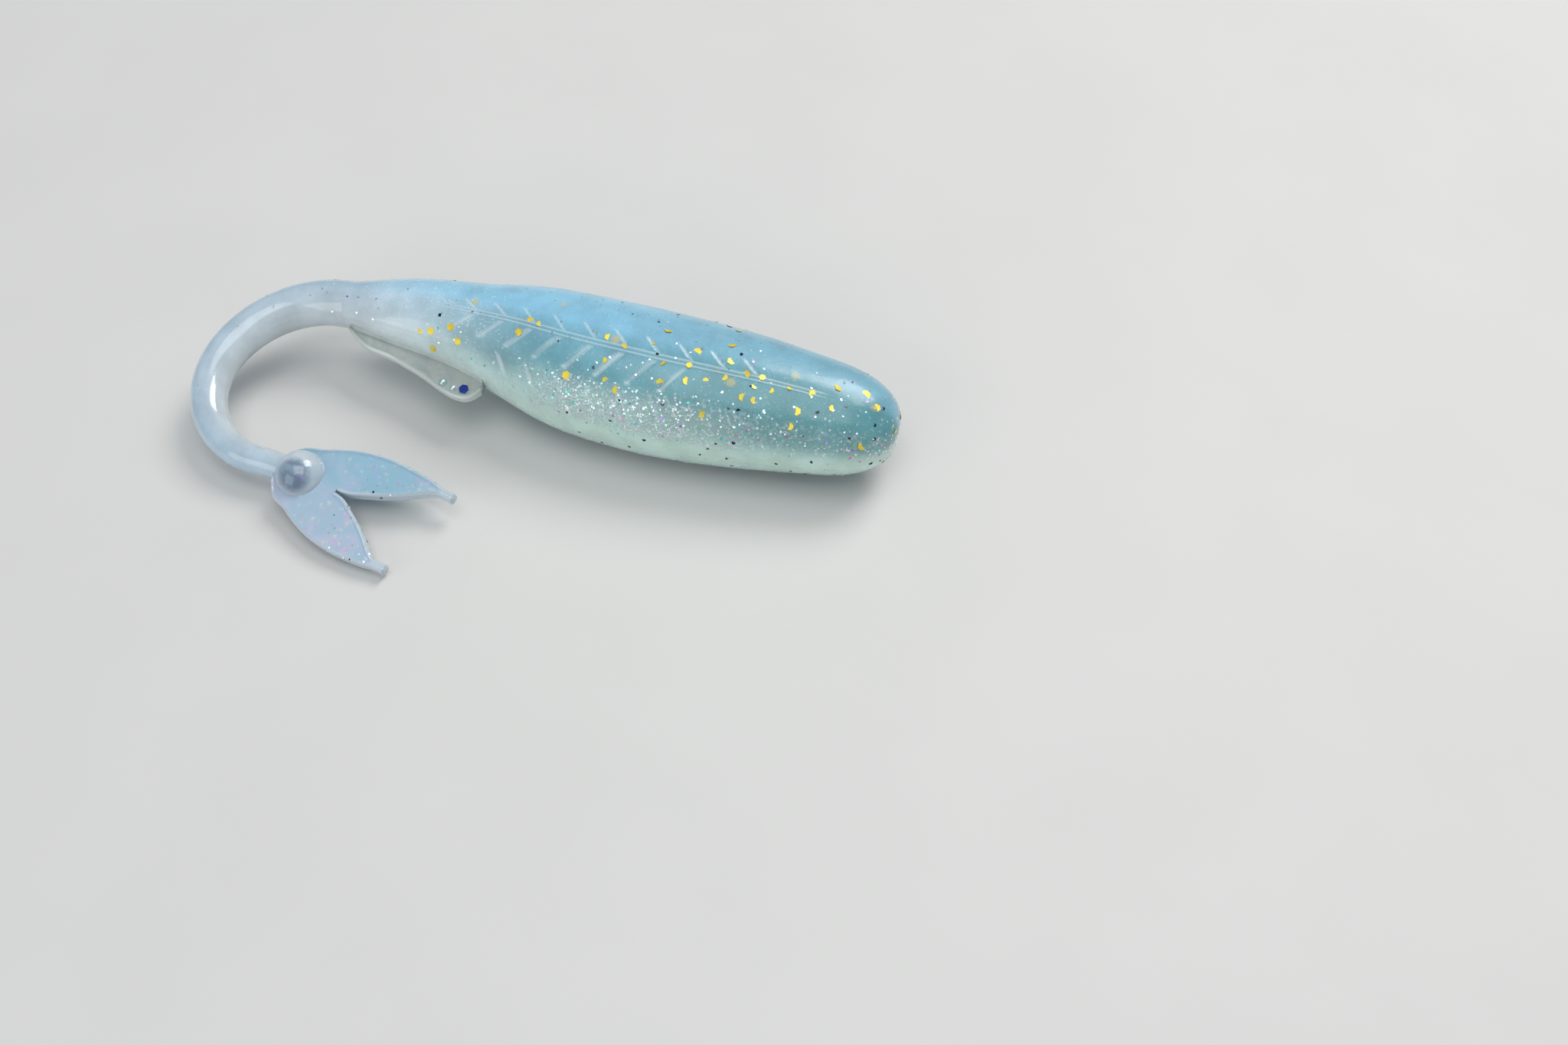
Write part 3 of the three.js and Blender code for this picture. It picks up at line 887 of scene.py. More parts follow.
@dataclass(frozen=True)
class Glitter:
    """Flakes scattered over a skin by geometry nodes, tilted a little and half sunk."""

    thickness: float = 0.02
    tilt: float = math.radians(14)
    kinds: tuple[FlakeKind, ...] = (
        FlakeKind(Material.GOLD, "gold_share", 0.38, 0.42, 11, apart=1.0),
        FlakeKind(Material.PEPPER, "pepper_share", 0.19, 0.1, 23, apart=0.8),
        FlakeKind(Material.SILVER, "dust_share", 0.12, 2.7, 37),
        FlakeKind(Material.TEAL, "dust_share", 0.14, 0.13, 41),
        FlakeKind(Material.VIOLET, "dust_share", 0.14, 0.12, 53),
    )

    def build(self) -> bpy.types.NodeTree:
        """Builds the tree.

        Returns:
            A tree with inputs Density, Size and one Seed.
        """
        wire = GeometryWiring("glitter_scatter")
        density = wire.ask("Density")
        size = wire.ask("Size")
        seed = wire.ask("Seed", "NodeSocketInt")
        joined = wire.node("GeometryNodeJoinGeometry")
        for kind in self.kinds:
            flakes = self.scatter(wire, kind, density, size, seed)
            wire.tree.links.new(flakes, joined.inputs[0])
        wire.tree.links.new(joined.outputs[0], wire.exit.inputs[0])
        return wire.tree

    def scatter(self, wire: GeometryWiring, kind: FlakeKind, density: object, size: object,
                seed: object) -> bpy.types.NodeSocket:
        """Scatters one kind of flake.

        Args:
            wire: The tree's wiring.
            kind: The flake's foil, size and number.
            density: The tree's Density input.
            size: The tree's Size input.
            seed: The tree's Seed input.

        Returns:
            The flakes as real geometry in their own foil.
        """
        each = wire.math("ADD", seed, float(kind.seed))
        most = wire.times(density, kind.per_square_mm / MM**2)
        surface = wire.entry.outputs["Geometry"]
        if kind.apart:
            spots = wire.node("GeometryNodeDistributePointsOnFaces", {"distribute_method": "POISSON"},
                              mesh=surface, density_max=most, distance_min=kind.apart * MM,
                              density_factor=wire.number(kind.share), seed=each)
        else:
            spots = wire.node("GeometryNodeDistributePointsOnFaces", {"distribute_method": "RANDOM"},
                              mesh=surface, density=wire.times(wire.number(kind.share), most),
                              seed=each)
        disc = wire.node("GeometryNodeMeshCylinder", vertices=kind.sides, radius=kind.radius * MM,
                         depth=self.thickness * MM)
        tilt = wire.node("FunctionNodeRandomValue", {"data_type": "FLOAT_VECTOR"},
                         i0=(-self.tilt, -self.tilt, 0.0), i1=(self.tilt, self.tilt, TURN), seed=each)
        turned = wire.node("FunctionNodeRotateRotation", {"rotation_space": "LOCAL"},
                           i0=spots.outputs["Rotation"], i1=tilt.outputs["Value"])
        spread = wire.node("FunctionNodeRandomValue", {"data_type": "FLOAT"}, i2=0.7, i3=1.1, seed=each)
        scale = wire.times(spread.outputs[1], size)
        laid = wire.node("GeometryNodeInstanceOnPoints", points=spots.outputs["Points"],
                         instance=disc.outputs["Mesh"], rotation=turned.outputs[0], scale=scale)
        whole = wire.node("GeometryNodeRealizeInstances", geometry=laid.outputs[0])
        dressed = wire.node("GeometryNodeSetMaterial", geometry=whole.outputs[0],
                            material=kind.foil.made)
        return dressed.outputs[0]


def lay_flakes(name: str, mesh: bpy.types.Mesh, tree: bpy.types.NodeTree, seed: int,
               size: float = 1.0) -> bpy.types.Object:
    """Scatters flakes over a mesh that carries the flakes' shares.

    Args:
        name: The flakes' name.
        mesh: The mesh they lie on, which is copied and left as it is.
        tree: The tree that scatters them.
        seed: Seed of the scatter.
        size: How large they are, 1 being the usual size.

    Returns:
        The flakes' object.
    """
    flakes = link(name, mesh.copy())
    run_tree(flakes, tree, {"Density": 1.0, "Size": size, "Seed": seed})
    return flakes


def run_tree(obj: bpy.types.Object, tree: bpy.types.NodeTree, values: dict[str, object]) -> None:
    """Runs a geometry tree on an object and keeps the result as its plain mesh.

    Args:
        obj: The object, whose mesh is replaced.
        tree: The tree to run.
        values: The tree's inputs by name.
    """
    modifier = obj.modifiers.new(tree.name, "NODES")
    modifier.node_group = tree
    for item in tree.interface.items_tree:
        if item.in_out == "INPUT" and item.name in values:
            modifier[item.identifier] = values[item.name]
    obj.update_tag()
    graph = bpy.context.evaluated_depsgraph_get()
    graph.update()
    result = bpy.data.meshes.new_from_object(obj.evaluated_get(graph), preserve_all_data_layers=True,
                                             depsgraph=graph)
    obj.modifiers.clear()
    obj.data = result


# ---- meshes --------------------------------------------------------------------------------------

def link(name: str, mesh: bpy.types.Mesh) -> bpy.types.Object:
    """Puts a mesh in the scene as an object at the origin."""
    obj = bpy.data.objects.new(name, mesh)
    bpy.context.scene.collection.objects.link(obj)
    return obj


def store(mesh: bpy.types.Mesh, name: str, values: np.ndarray, kind: str = "FLOAT") -> None:
    """Stores an array on a mesh's points under a name."""
    attribute = mesh.attributes.new(name, kind, "POINT")
    channel = "vector" if kind == "FLOAT_VECTOR" else "value"
    attribute.data.foreach_set(channel, np.ascontiguousarray(values, np.float32).ravel())


def ring_faces(rings: int, sides: int) -> np.ndarray:
    """Quads between rings of points, facing outwards where rings run from the nose to the tail."""
    ring = np.arange(rings - 1)[:, None] * sides
    side = np.arange(sides)[None, :]
    following = (side + 1) % sides
    near, far = (ring + side, ring + following), (ring + sides + following, ring + sides + side)
    quads = np.stack([*near, *far], axis=-1)
    return quads.reshape(-1, 4)


def grid_normals(points: np.ndarray) -> np.ndarray:
    """Outward normals of a closed grid of rings, from the differences between neighbours."""
    forward = np.gradient(points, axis=0)
    around = np.roll(points, -1, axis=1) - np.roll(points, 1, axis=1)
    normals = np.cross(around, forward)
    return normals / np.maximum(np.linalg.norm(normals, axis=-1, keepdims=True), 1e-12)


def tube_mesh(name: str, points: np.ndarray, normals: np.ndarray,
              attributes: dict[str, np.ndarray], skin: bpy.types.Material,
              cap: bpy.types.Material) -> bpy.types.Mesh:
    """A closed mesh from rings of points, with a fan over each end.

    Args:
        name: The mesh's name.
        points: The rings, as (rings, sides, 3) in metres.
        normals: The surface normals at those points.
        attributes: Named numbers at those points, as (rings, sides).
        skin: The material of the wall.
        cap: The material of the two ends.

    Returns:
        The mesh.
    """
    rings, sides = points.shape[:2]
    flat = points.reshape(-1, 3)
    ends = np.stack([points[0].mean(0), points[-1].mean(0)])
    vertices = np.concatenate([flat, ends])
    faces = [tuple(face) for face in ring_faces(rings, sides).tolist()]
    wall_count = len(faces)
    first, last = rings * sides, (rings - 1) * sides
    for side in range(sides):
        following = (side + 1) % sides
        faces.append((first, following, side))
        faces.append((first + 1, last + side, last + following))
    mesh = bpy.data.meshes.new(name)
    mesh.from_pydata(vertices.tolist(), [], faces)
    for attribute, values in attributes.items():
        per_point = values.reshape(-1)
        caps = [values[0].mean(), values[-1].mean()]
        store(mesh, attribute, np.concatenate([per_point, caps]))
    mesh.materials.append(skin)
    mesh.materials.append(cap)
    slots = np.zeros(len(faces), np.int32)
    slots[wall_count:] = 1
    mesh.polygons.foreach_set("material_index", slots)
    mesh.polygons.foreach_set("use_smooth", np.ones(len(faces), bool))
    mesh.update()
    middles = points.mean(1)
    ahead = np.array([middles[0] - middles[1], middles[-1] - middles[-2]])
    ahead /= np.linalg.norm(ahead, axis=1, keepdims=True)
    every = np.concatenate([normals.reshape(-1, 3), ahead])
    mesh.normals_split_custom_set_from_vertices(every.tolist())
    return mesh


def dress_end(mesh: bpy.types.Mesh, sides: int, end: int) -> None:
    """Gives the fan on a tube's first ring (end 0) or last ring (end 1) the wall's own material."""
    walls = len(mesh.polygons) - 2 * sides
    for side in range(sides):
        mesh.polygons[walls + 2 * side + end].material_index = 0


# ---- the skin of the body and the stem -----------------------------------------------------------

@dataclass(frozen=True)
class LoneFlake:
    """One flake laid by itself: its foil, its station as x, its height, and its radius."""

    foil: Material
    x: float
    height: float
    radius: float = 0.36


@dataclass(frozen=True)
class Stretch:
    """One stretch of skin: where it runs, the bodies it lies on, and the CAD nodes it stands for."""

    name: str
    start: float
    end: float
    bodies: tuple[str, ...]
    nodes: tuple[str, ...]
    blend: tuple[float, float] = (0.0, 0.0)
    slot: str = "clear_belly"


@dataclass
class Skin:
    """The continuous skin of the worm, in stretches that each ride with a body or keep the place they are
    built in.
    """

    spine: Spine
    mould: Mould
    ring_step: float = 0.15
    sides: int = 208
    fine_angles: int = 6
    fine_angle: float = 0.0105
    seam_angle: float = 0.02
    seam_run: tuple[float, float] = (-29.0, 20.0)
    snout_length: float = 3.0
    snout_rings: int = 26
    seams: tuple[float, ...] = (-2.4, -10.9, -18.0, -26.2)
    arch_zone: tuple[float, float] = (-3.0, -10.4)
    flex_zone: tuple[float, float] = (-11.4, -17.5)
    root_zone: tuple[float, float] = (-26.6, 0.38)
    stem_zone: tuple[float, float] = (0.13, 0.87)
    neck_zone: tuple[float, float] = (0.2, 0.6)
    neck_end: float = 0.55
    relief: Relief = field(default_factory=Relief)
    glitter: Glitter = field(default_factory=Glitter)
    lone_flakes: tuple[LoneFlake, ...] = (
        LoneFlake(Material.GOLD, -19.8, -0.68), LoneFlake(Material.GOLD, -17.9, -0.50),
        LoneFlake(Material.GOLD, -19.6, -0.93), LoneFlake(Material.GOLD, -17.0, -0.70),
        LoneFlake(Material.VIOLET, -20.3, 0.93, 0.3),
    )

    def stretches(self) -> list[Stretch]:
        """Lists the stretches from the nose to the ball."""
        spine = self.spine
        root = spine.body_length
        part = spine.part_length

        def station(x: float) -> float:
            """Station of a place on the body."""
            return spine.nose_x - x

        arch, flex, rear, tail = map(station, self.seams)
        found = [
            Stretch("trunk_skin", -spine.tip_allowance, arch, ("trunk",),
                    ("head_back", "head_belly", "trunk_back", "trunk_belly")),
            Stretch("arch_skin", arch, flex, ("trunk", "waist"), ("waist_back",),
                    tuple(map(station, self.arch_zone))),
            Stretch("flex_skin", flex, rear, ("waist", "rear"), ("waist_belly",),
                    tuple(map(station, self.flex_zone))),
            Stretch("rear_skin", rear, tail, ("rear",), ("rear_back", "rear_belly")),
            Stretch("tail_root_skin", tail, root + part / 2, ("rear", "stem_1"), ("stem_1",),
                    (station(self.root_zone[0]), root + self.root_zone[1] * part), "clear_tail"),
        ]
        for number in range(1, spine.stem_parts):
            start = root + (number - 0.5) * part
            zone = (start + self.stem_zone[0] * part, start + self.stem_zone[1] * part)
            found.append(Stretch(f"stem_skin_{number}", start, start + part,
                                 (f"stem_{number}", f"stem_{number + 1}"), (f"stem_{number + 1}",),
                                 zone, "clear_tail"))
        neck = root + (spine.stem_parts - 0.5) * part
        end = root + spine.stem_length - self.neck_end * spine.ball_radius
        found.append(Stretch("neck_skin", neck, end, (f"stem_{spine.stem_parts}", "tail"), (),
                             (neck + self.neck_zone[0], end - self.neck_zone[1]), "clear_tail"))
        return found

    def angles(self) -> np.ndarray:
        """Angles round a ring, closer together at the lateral line and at the mould seam."""
        even = np.arange(self.sides) * TURN / self.sides
        line = self.relief.line_height
        fine = np.arange(-self.fine_angles, self.fine_angles + 1) * self.fine_angle
        seam = np.array([-self.seam_angle, self.seam_angle])
        extra = [line + fine, math.pi - line + fine, math.pi / 2 + seam, 1.5 * math.pi + seam]
        return np.unique(np.round(np.concatenate([even, *extra]) % TURN, 5))

    def stations(self, stretch: Stretch) -> np.ndarray:
        """Stations of a stretch's rings, with one spare ring past each seam."""
        count = max(6, round((stretch.end - stretch.start) / self.ring_step))
        step = (stretch.end - stretch.start) / count
        rings = stretch.start + step * np.arange(-1, count + 2)
        if stretch.start < 0:
            closing = 1 - np.cos(np.linspace(0.02, math.pi / 2, self.snout_rings))
            snout = stretch.start + self.snout_length * closing
            rest = np.arange(snout[-1] + self.ring_step, stretch.end - 0.4 * step, self.ring_step)
            rings = np.concatenate([snout, rest, [stretch.end, stretch.end + self.ring_step]])
        return rings

    def shares(self, along: np.ndarray, height: np.ndarray) -> dict[str, np.ndarray]:
        """How much of each flake there is over the skin.

        Args:
            along: The distance along the worm at each point.
            height: The height at each point.

        Returns:
            An array for each share's name.
        """
        front = smooth_step(along, -16, 12)
        nose = smooth_step(along, 5, 15)
        middle = smooth_step(along, -14, -4)
        body = smooth_step(along, -27, -18)
        upper = smooth_step(height, -0.85, -0.6) * (1 - 0.6 * smooth_step(height, 0.0, 0.2))
        upper = upper * (1 - 0.6 * smooth_step(height, 0.35, 0.65))
        lower = smooth_step(height, -0.99, -0.93) * (1 - 0.95 * smooth_step(height, -0.8, -0.4))
        return {
            "gold_share": body * upper * (0.22 + 0.78 * front),
            "pepper_share": body * (0.3 + 0.7 * front) * (1 - 0.6 * smooth_step(height, 0.3, 0.7)),
            "dust_share": (0.04 + 0.3 * smooth_step(along, 16, 20)
                           + body * lower * (0.12 + 2.1 * middle * (1 - 0.5 * nose))),
        }

    def build(self) -> None:
        """Builds and dresses every stretch and its glitter."""
        relief, glitter = self.relief.build(), self.glitter.build()
        for number, stretch in enumerate(self.stretches()):
            skin = self.build_stretch(stretch, relief)
            flakes = lay_flakes(stretch.name.replace("_skin", "_glitter"), skin.data, glitter, 100 * number)
            for piece in (skin, flakes):
                self.attach(piece, stretch)
            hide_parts(*stretch.nodes)
            log.info("%s: %d faces, %d in its glitter", stretch.name, len(skin.data.polygons),
                     len(flakes.data.polygons))
        self.build_lone_flakes()

    def build_lone_flakes(self) -> None:
        """Builds the few large flakes that lie together at the rear of the flank."""
        mesh = bpy.data.meshes.new("rear_lone_flakes")
        work = bmesh.new()
        for flake in self.lone_flakes:
            if flake.foil.made.name not in mesh.materials:
                mesh.materials.append(flake.foil.made)
            power = self.spine.squareness / 2
            angle = math.asin(signed_power(np.array(flake.height), power))
            stations = self.spine.nose_x - flake.x + np.array([-0.1, 0, 0.1])
            points, _ = self.spine.sections(stations, angle + np.array([-0.03, 0, 0.03]))
            placed = self.mould.place(points)
            out = Vector(grid_normals(placed)[1, 1])
            spot = Matrix.Translation(placed[1, 1] + 0.008 * MM * np.array(out))
            turn = out.to_track_quat("Z", "X").to_matrix().to_4x4()
            made = bmesh.ops.create_cone(work, cap_ends=True, segments=6, radius1=flake.radius * MM,
                                         radius2=flake.radius * MM, depth=self.glitter.thickness * MM,
                                         matrix=spot @ turn)
            slot = mesh.materials.find(flake.foil.made.name)
            for face in {face for vertex in made["verts"] for face in vertex.link_faces}:
                face.material_index = slot
        work.to_mesh(mesh)
        work.free()
        piece = link("rear_lone_flakes", mesh)
        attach(piece, "rear")
        log.info("lone flakes: %d", len(self.lone_flakes))

    def build_stretch(self, stretch: Stretch, relief: bpy.types.NodeTree) -> bpy.types.Object:
        """Builds one stretch of skin.

        Args:
            stretch: Where it runs.
            relief: The tree that cuts the grooves.

        Returns:
            The skin's object.
        """
        stations, angles = self.stations(stretch), self.angles()
        points, height = self.spine.sections(stations, angles)
        placed = self.mould.place(points)
        out = grid_normals(placed)
        along = np.repeat(self.spine.along(stations)[:, None], len(angles), axis=1)
        ridge = np.abs(np.abs(np.sin(angles)) - 1) < 1e-6
        rear, front = self.seam_run
        seam = np.where(ridge[None, :] & (along > rear), 1.0, 0.0) * (along < front)
        numbers = {"along": along, "height": height, "seam": seam}
        rough = bpy.data.meshes.new(stretch.name)
        quads = ring_faces(*points.shape[:2]).tolist()
        rough.from_pydata(placed.reshape(-1, 3).tolist(), [], quads)
        for name, values in numbers.items():
            store(rough, name, values)
        store(rough, "out", out.reshape(-1, 3), "FLOAT_VECTOR")
        obj = link(stretch.name, rough)
        run_tree(obj, relief, {"Pitch": self.relief.pitch, "Stroke Depth": 1.0,
                               "Line Rise": self.relief.line_rise, "Seam Rise": self.relief.seam_rise,
                               "Skin": Material.BODY.made})
        flat = np.empty(points.size)
        obj.data.vertices.foreach_get("co", flat)
        carved = flat.reshape(points.shape)
        normals = grid_normals(carved)
        first = 0 if stretch.start < 0 else 1
        kept = slice(first, len(stations) - 1)
        # The painted highlight mask, read back from the relief for the skin's material.
        mark = np.empty(along.size)
        obj.data.attributes["mark"].data.foreach_get("value", mark)
        numbers = {"along": along, "height": height, "mark": mark.reshape(along.shape),
                   **self.shares(along, height)}
        inner = {name: values[kept] for name, values in numbers.items()}
        obj.data = tube_mesh(stretch.name, carved[kept], normals[kept], inner, Material.BODY.made,
                             Material.SEAM.made)
        if stretch.start < 0:
            dress_end(obj.data, len(angles), 0)
        return obj

    def attach(self, piece: bpy.types.Object, stretch: Stretch) -> None:
        """Rides a piece with the stretch's body; a piece that lies between two bodies keeps its built place
        in its mesh.
        """
        if len(stretch.bodies) == 1:
            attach(piece, stretch.bodies[0])
            return
        places, _ = self.spine.line(np.array(stretch.blend))
        start, end = (self.mould.point(*place) for place in places)
        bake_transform(piece)


# ---- flat plates: the fork's lobes and web, and the keel fin -------------------------------------

@dataclass(frozen=True)
class Plate:
    """Section of a flat plate with rounded corners and a raised rim, in millimetres."""

    half_thickness: float = 0.62
    corner: float = 0.3
    rim_place: float = 0.26
    rim_width: float = 0.12
    rim_rise: float = 0.05
    recess: float = 0.04
    steps: int = 44

    def rings(self, x: np.ndarray, left: np.ndarray, right: np.ndarray,
              half_thickness: np.ndarray) -> tuple[np.ndarray, np.ndarray]:
        """Places rings round the plate, one at each x.

        Args:
            x: Where each ring stands.
            left: The greater y of the plate at each x.
            right: The lesser y of the plate at each x.
            half_thickness: Half of the plate's thickness at each x.

        Returns:
            Points as (rings, sides, 3), and how far each lies on the pale rim, 0 to 1.
        """
        share = (1 - np.cos(np.linspace(0, math.pi, self.steps))) / 2
        width = (left - right)[:, None]
        thick = half_thickness[:, None]
        inset = np.minimum(share, 1 - share)[None, :] * width
        corner = np.minimum(np.minimum(self.corner, 0.45 * width), 0.8 * thick)
        rounding = np.sqrt(np.maximum(corner**2 - np.maximum(corner - inset, 0) ** 2, 0)) - corner
        lip = self.rim_rise * np.exp(-(((inset - self.rim_place) / self.rim_width) ** 2))
        dip = self.recess * smooth_step(inset, self.rim_place, 2.2 * self.rim_place)
        top = thick + rounding + lip * (inset > corner * 0.5) - dip
        y = left[:, None] - share[None, :] * width
        upper = np.stack([np.broadcast_to(x[:, None], y.shape), y, top], axis=-1)
        lower = upper[:, ::-1] * np.array([1, 1, -1])
        rim = 1 - smooth_step(inset, 0.3 * self.rim_place, 1.3 * self.rim_place)
        return np.concatenate([upper, lower], axis=1), np.concatenate([rim, rim[:, ::-1]], axis=1)


@dataclass
class Keel:
    """The clear fin under the rear of the belly, with two air bubbles and a blue flake in it."""

    spine: Spine
    mould: Mould
    edge: tuple[tuple[float, float], ...] = (
        (-28.4, -0.75), (-26.7, -1.9), (-23.5, -2.75), (-20, -4.0), (-18, -4.9),
        (-16.6, -5.3), (-15.6, -5.25), (-15.0, -4.85), (-14.6, -4.3),
    )
    root_depth: float = 0.35
    plate: Plate = field(default_factory=lambda: Plate(corner=0.34, rim_rise=0.05, recess=0.16))
    fold_height: float = 1.3
    bubbles: tuple[tuple[float, float, float], ...] = ((-18.1, -4.1, 0.37), (-17.0, -4.45, 0.31))
    bubble_level: float = 0.34
    flake: tuple[float, float] = (-16.0, -4.4)
    flake_radius: float = 0.46
    flake_level: float = 0.5
    fold_x: float = -21.5

    def build(self) -> None:
        """Builds the fin and what is cast into it."""
        fin, inside = self.build_fin(), self.build_bubbles()
        down = self.edge_direction()
        root = np.array([self.fold_x, float(self.spine.belly(np.array(self.fold_x)))]) + 0.1 * down
        tip = root + self.fold_height * down
        for piece in (fin, inside):
            self.mould.point(*root)
            self.mould.point(*tip)
            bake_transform(piece)
        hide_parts("keel_fin")
        log.info("keel: %d faces", len(fin.data.polygons))

    def edge_direction(self) -> np.ndarray:
        """Direction across the fin, away from the belly."""
        ends = np.array([-24.0, -18.0])
        rise = np.diff(self.spine.belly(ends))[0]
        along = np.array([ends[1] - ends[0], rise])
        along /= np.linalg.norm(along)
        return np.array([along[1], -along[0]])

    def build_fin(self) -> bpy.types.Object:
        """Builds the fin's plate."""
        x = np.linspace(self.edge[0][0], self.edge[-1][0], 110)
        left = self.spine.belly(x) + self.root_depth
        right = np.minimum(smooth_line(self.edge)(x), left - 0.4)
        thick = 0.52 + 0.12 * smooth_step(x, -26, -16)
        points, rim = self.plate.rings(x, left, right, thick)
        across = np.abs(points[..., 1] - left[:, None])
        taper = 1 - 0.28 * smooth_step(across, 0.3, 2.4)
        points[..., 2] *= taper
        rim = rim * smooth_step(across, 0.5, 0.9)
        placed = self.mould.place(points)
        clear = Material.KEEL.made
        mesh = tube_mesh("keel_skin", placed, grid_normals(placed), {"rim": rim}, clear, clear)
        return link("keel_skin", mesh)

    def build_bubbles(self) -> bpy.types.Object:
        """Builds the bubbles and the flake, which show through the fin's upper face."""
        parts = [
            (0, ball_rings(np.array([x, y, self.bubble_level]), radius, 14, 18))
            for x, y, radius in self.bubbles
        ]
        hexagon = np.arange(6) * TURN / 6
        ring = np.stack([np.cos(hexagon), np.sin(hexagon), 0 * hexagon], axis=1) * self.flake_radius
        flake = np.stack([ring + [0, 0, -0.02], ring + [0, 0, 0.02]]) + [*self.flake, self.flake_level]
        parts.append((1, flake))
        mesh = bpy.data.meshes.new("keel_bubbles")
        vertices, faces, slots = [], [], []
        for slot, part in parts:
            start = len(vertices)
            rings, sides = part.shape[:2]
            vertices += self.mould.place(part).reshape(-1, 3).tolist()
            walls = (ring_faces(rings, sides) + start)[:, ::-1].tolist()
            first = list(range(start, start + sides))
            last = [number + (rings - 1) * sides for number in reversed(first)]
            faces += walls + [first, last]
            slots += [slot] * (len(walls) + 2)
        mesh.from_pydata(vertices, [], faces)
        mesh.materials.append(Material.SILVER.made)
        mesh.materials.append(Material.BLUE.made)
        mesh.polygons.foreach_set("material_index", slots)
        turn_outwards(mesh)
        return link("keel_bubbles", mesh)


def ball_rings(centre: np.ndarray, radius: float, rings: int, sides: int) -> np.ndarray:
    """Rings of a ball from its +z pole to its -z pole, without the poles themselves."""
    polar = np.linspace(0.06, math.pi - 0.06, rings)[:, None]
    around = (np.arange(sides) * TURN / sides)[None, :]
    unit = np.stack([np.sin(polar) * np.cos(around), np.sin(polar) * np.sin(around),
                     np.cos(polar) + 0 * around], axis=-1)
    return centre + radius * unit


def turn_outwards(mesh: bpy.types.Mesh) -> None:
    """Turns a mesh's faces outwards."""
    work = bmesh.new()
    work.from_mesh(mesh)
    bmesh.ops.recalc_face_normals(work, faces=work.faces)
    work.to_mesh(mesh)
    work.free()


@dataclass(frozen=True)
class HalfFork:
    """Outline of one half of the fork, in millimetres behind the ball's middle and off its axis."""

    word: str
    side: int
    tip: float
    outer: tuple[tuple[float, float], ...]
    inner: tuple[tuple[float, float], ...]

    def edges(self, x: np.ndarray) -> tuple[np.ndarray, np.ndarray]:
        """The greater and the lesser y of the half at each x, on its own side."""
        outer, inner = smooth_line(self.outer)(x), smooth_line(self.inner)(x)
        return (outer, inner) if self.side > 0 else (-inner, -outer)


UPPER_HALF = HalfFork(
    "upper", 1, 13.5,
    (
        (-2.0, 0.4), (-1.8, 1.2), (-1.3, 1.85), (0.9, 3.0), (3.7, 4.2), (6.3, 4.76),
        (9.2, 4.8), (11.3, 4.64), (12.2, 4.5), (12.7, 4.46), (13.5, 4.5),
    ),
    (
        (3.9, 0.06), (4.2, 0.09), (5.3, 0.28), (6.6, 0.8), (8.4, 1.6), (9.8, 2.36),
        (11.5, 3.42), (12.2, 3.7), (12.7, 3.7), (13.5, 3.64),
    ),
)
LOWER_HALF = HalfFork(
    "lower", -1, 11.9,
    (
        (-2.0, 0.5), (-1.8, 1.4), (-1.3, 2.25), (0.9, 3.45), (3.7, 4.55), (6.3, 4.93),
        (8.2, 4.9), (9.8, 4.74), (10.6, 4.6), (11.1, 4.54), (11.9, 4.56),
    ),
    (
        (3.9, 0.06), (4.2, 0.09), (5.2, 0.32), (6.2, 0.86), (7.6, 1.66), (8.7, 2.42),
        (10.0, 3.44), (10.6, 3.72), (11.1, 3.72), (11.9, 3.66),
    ),
)


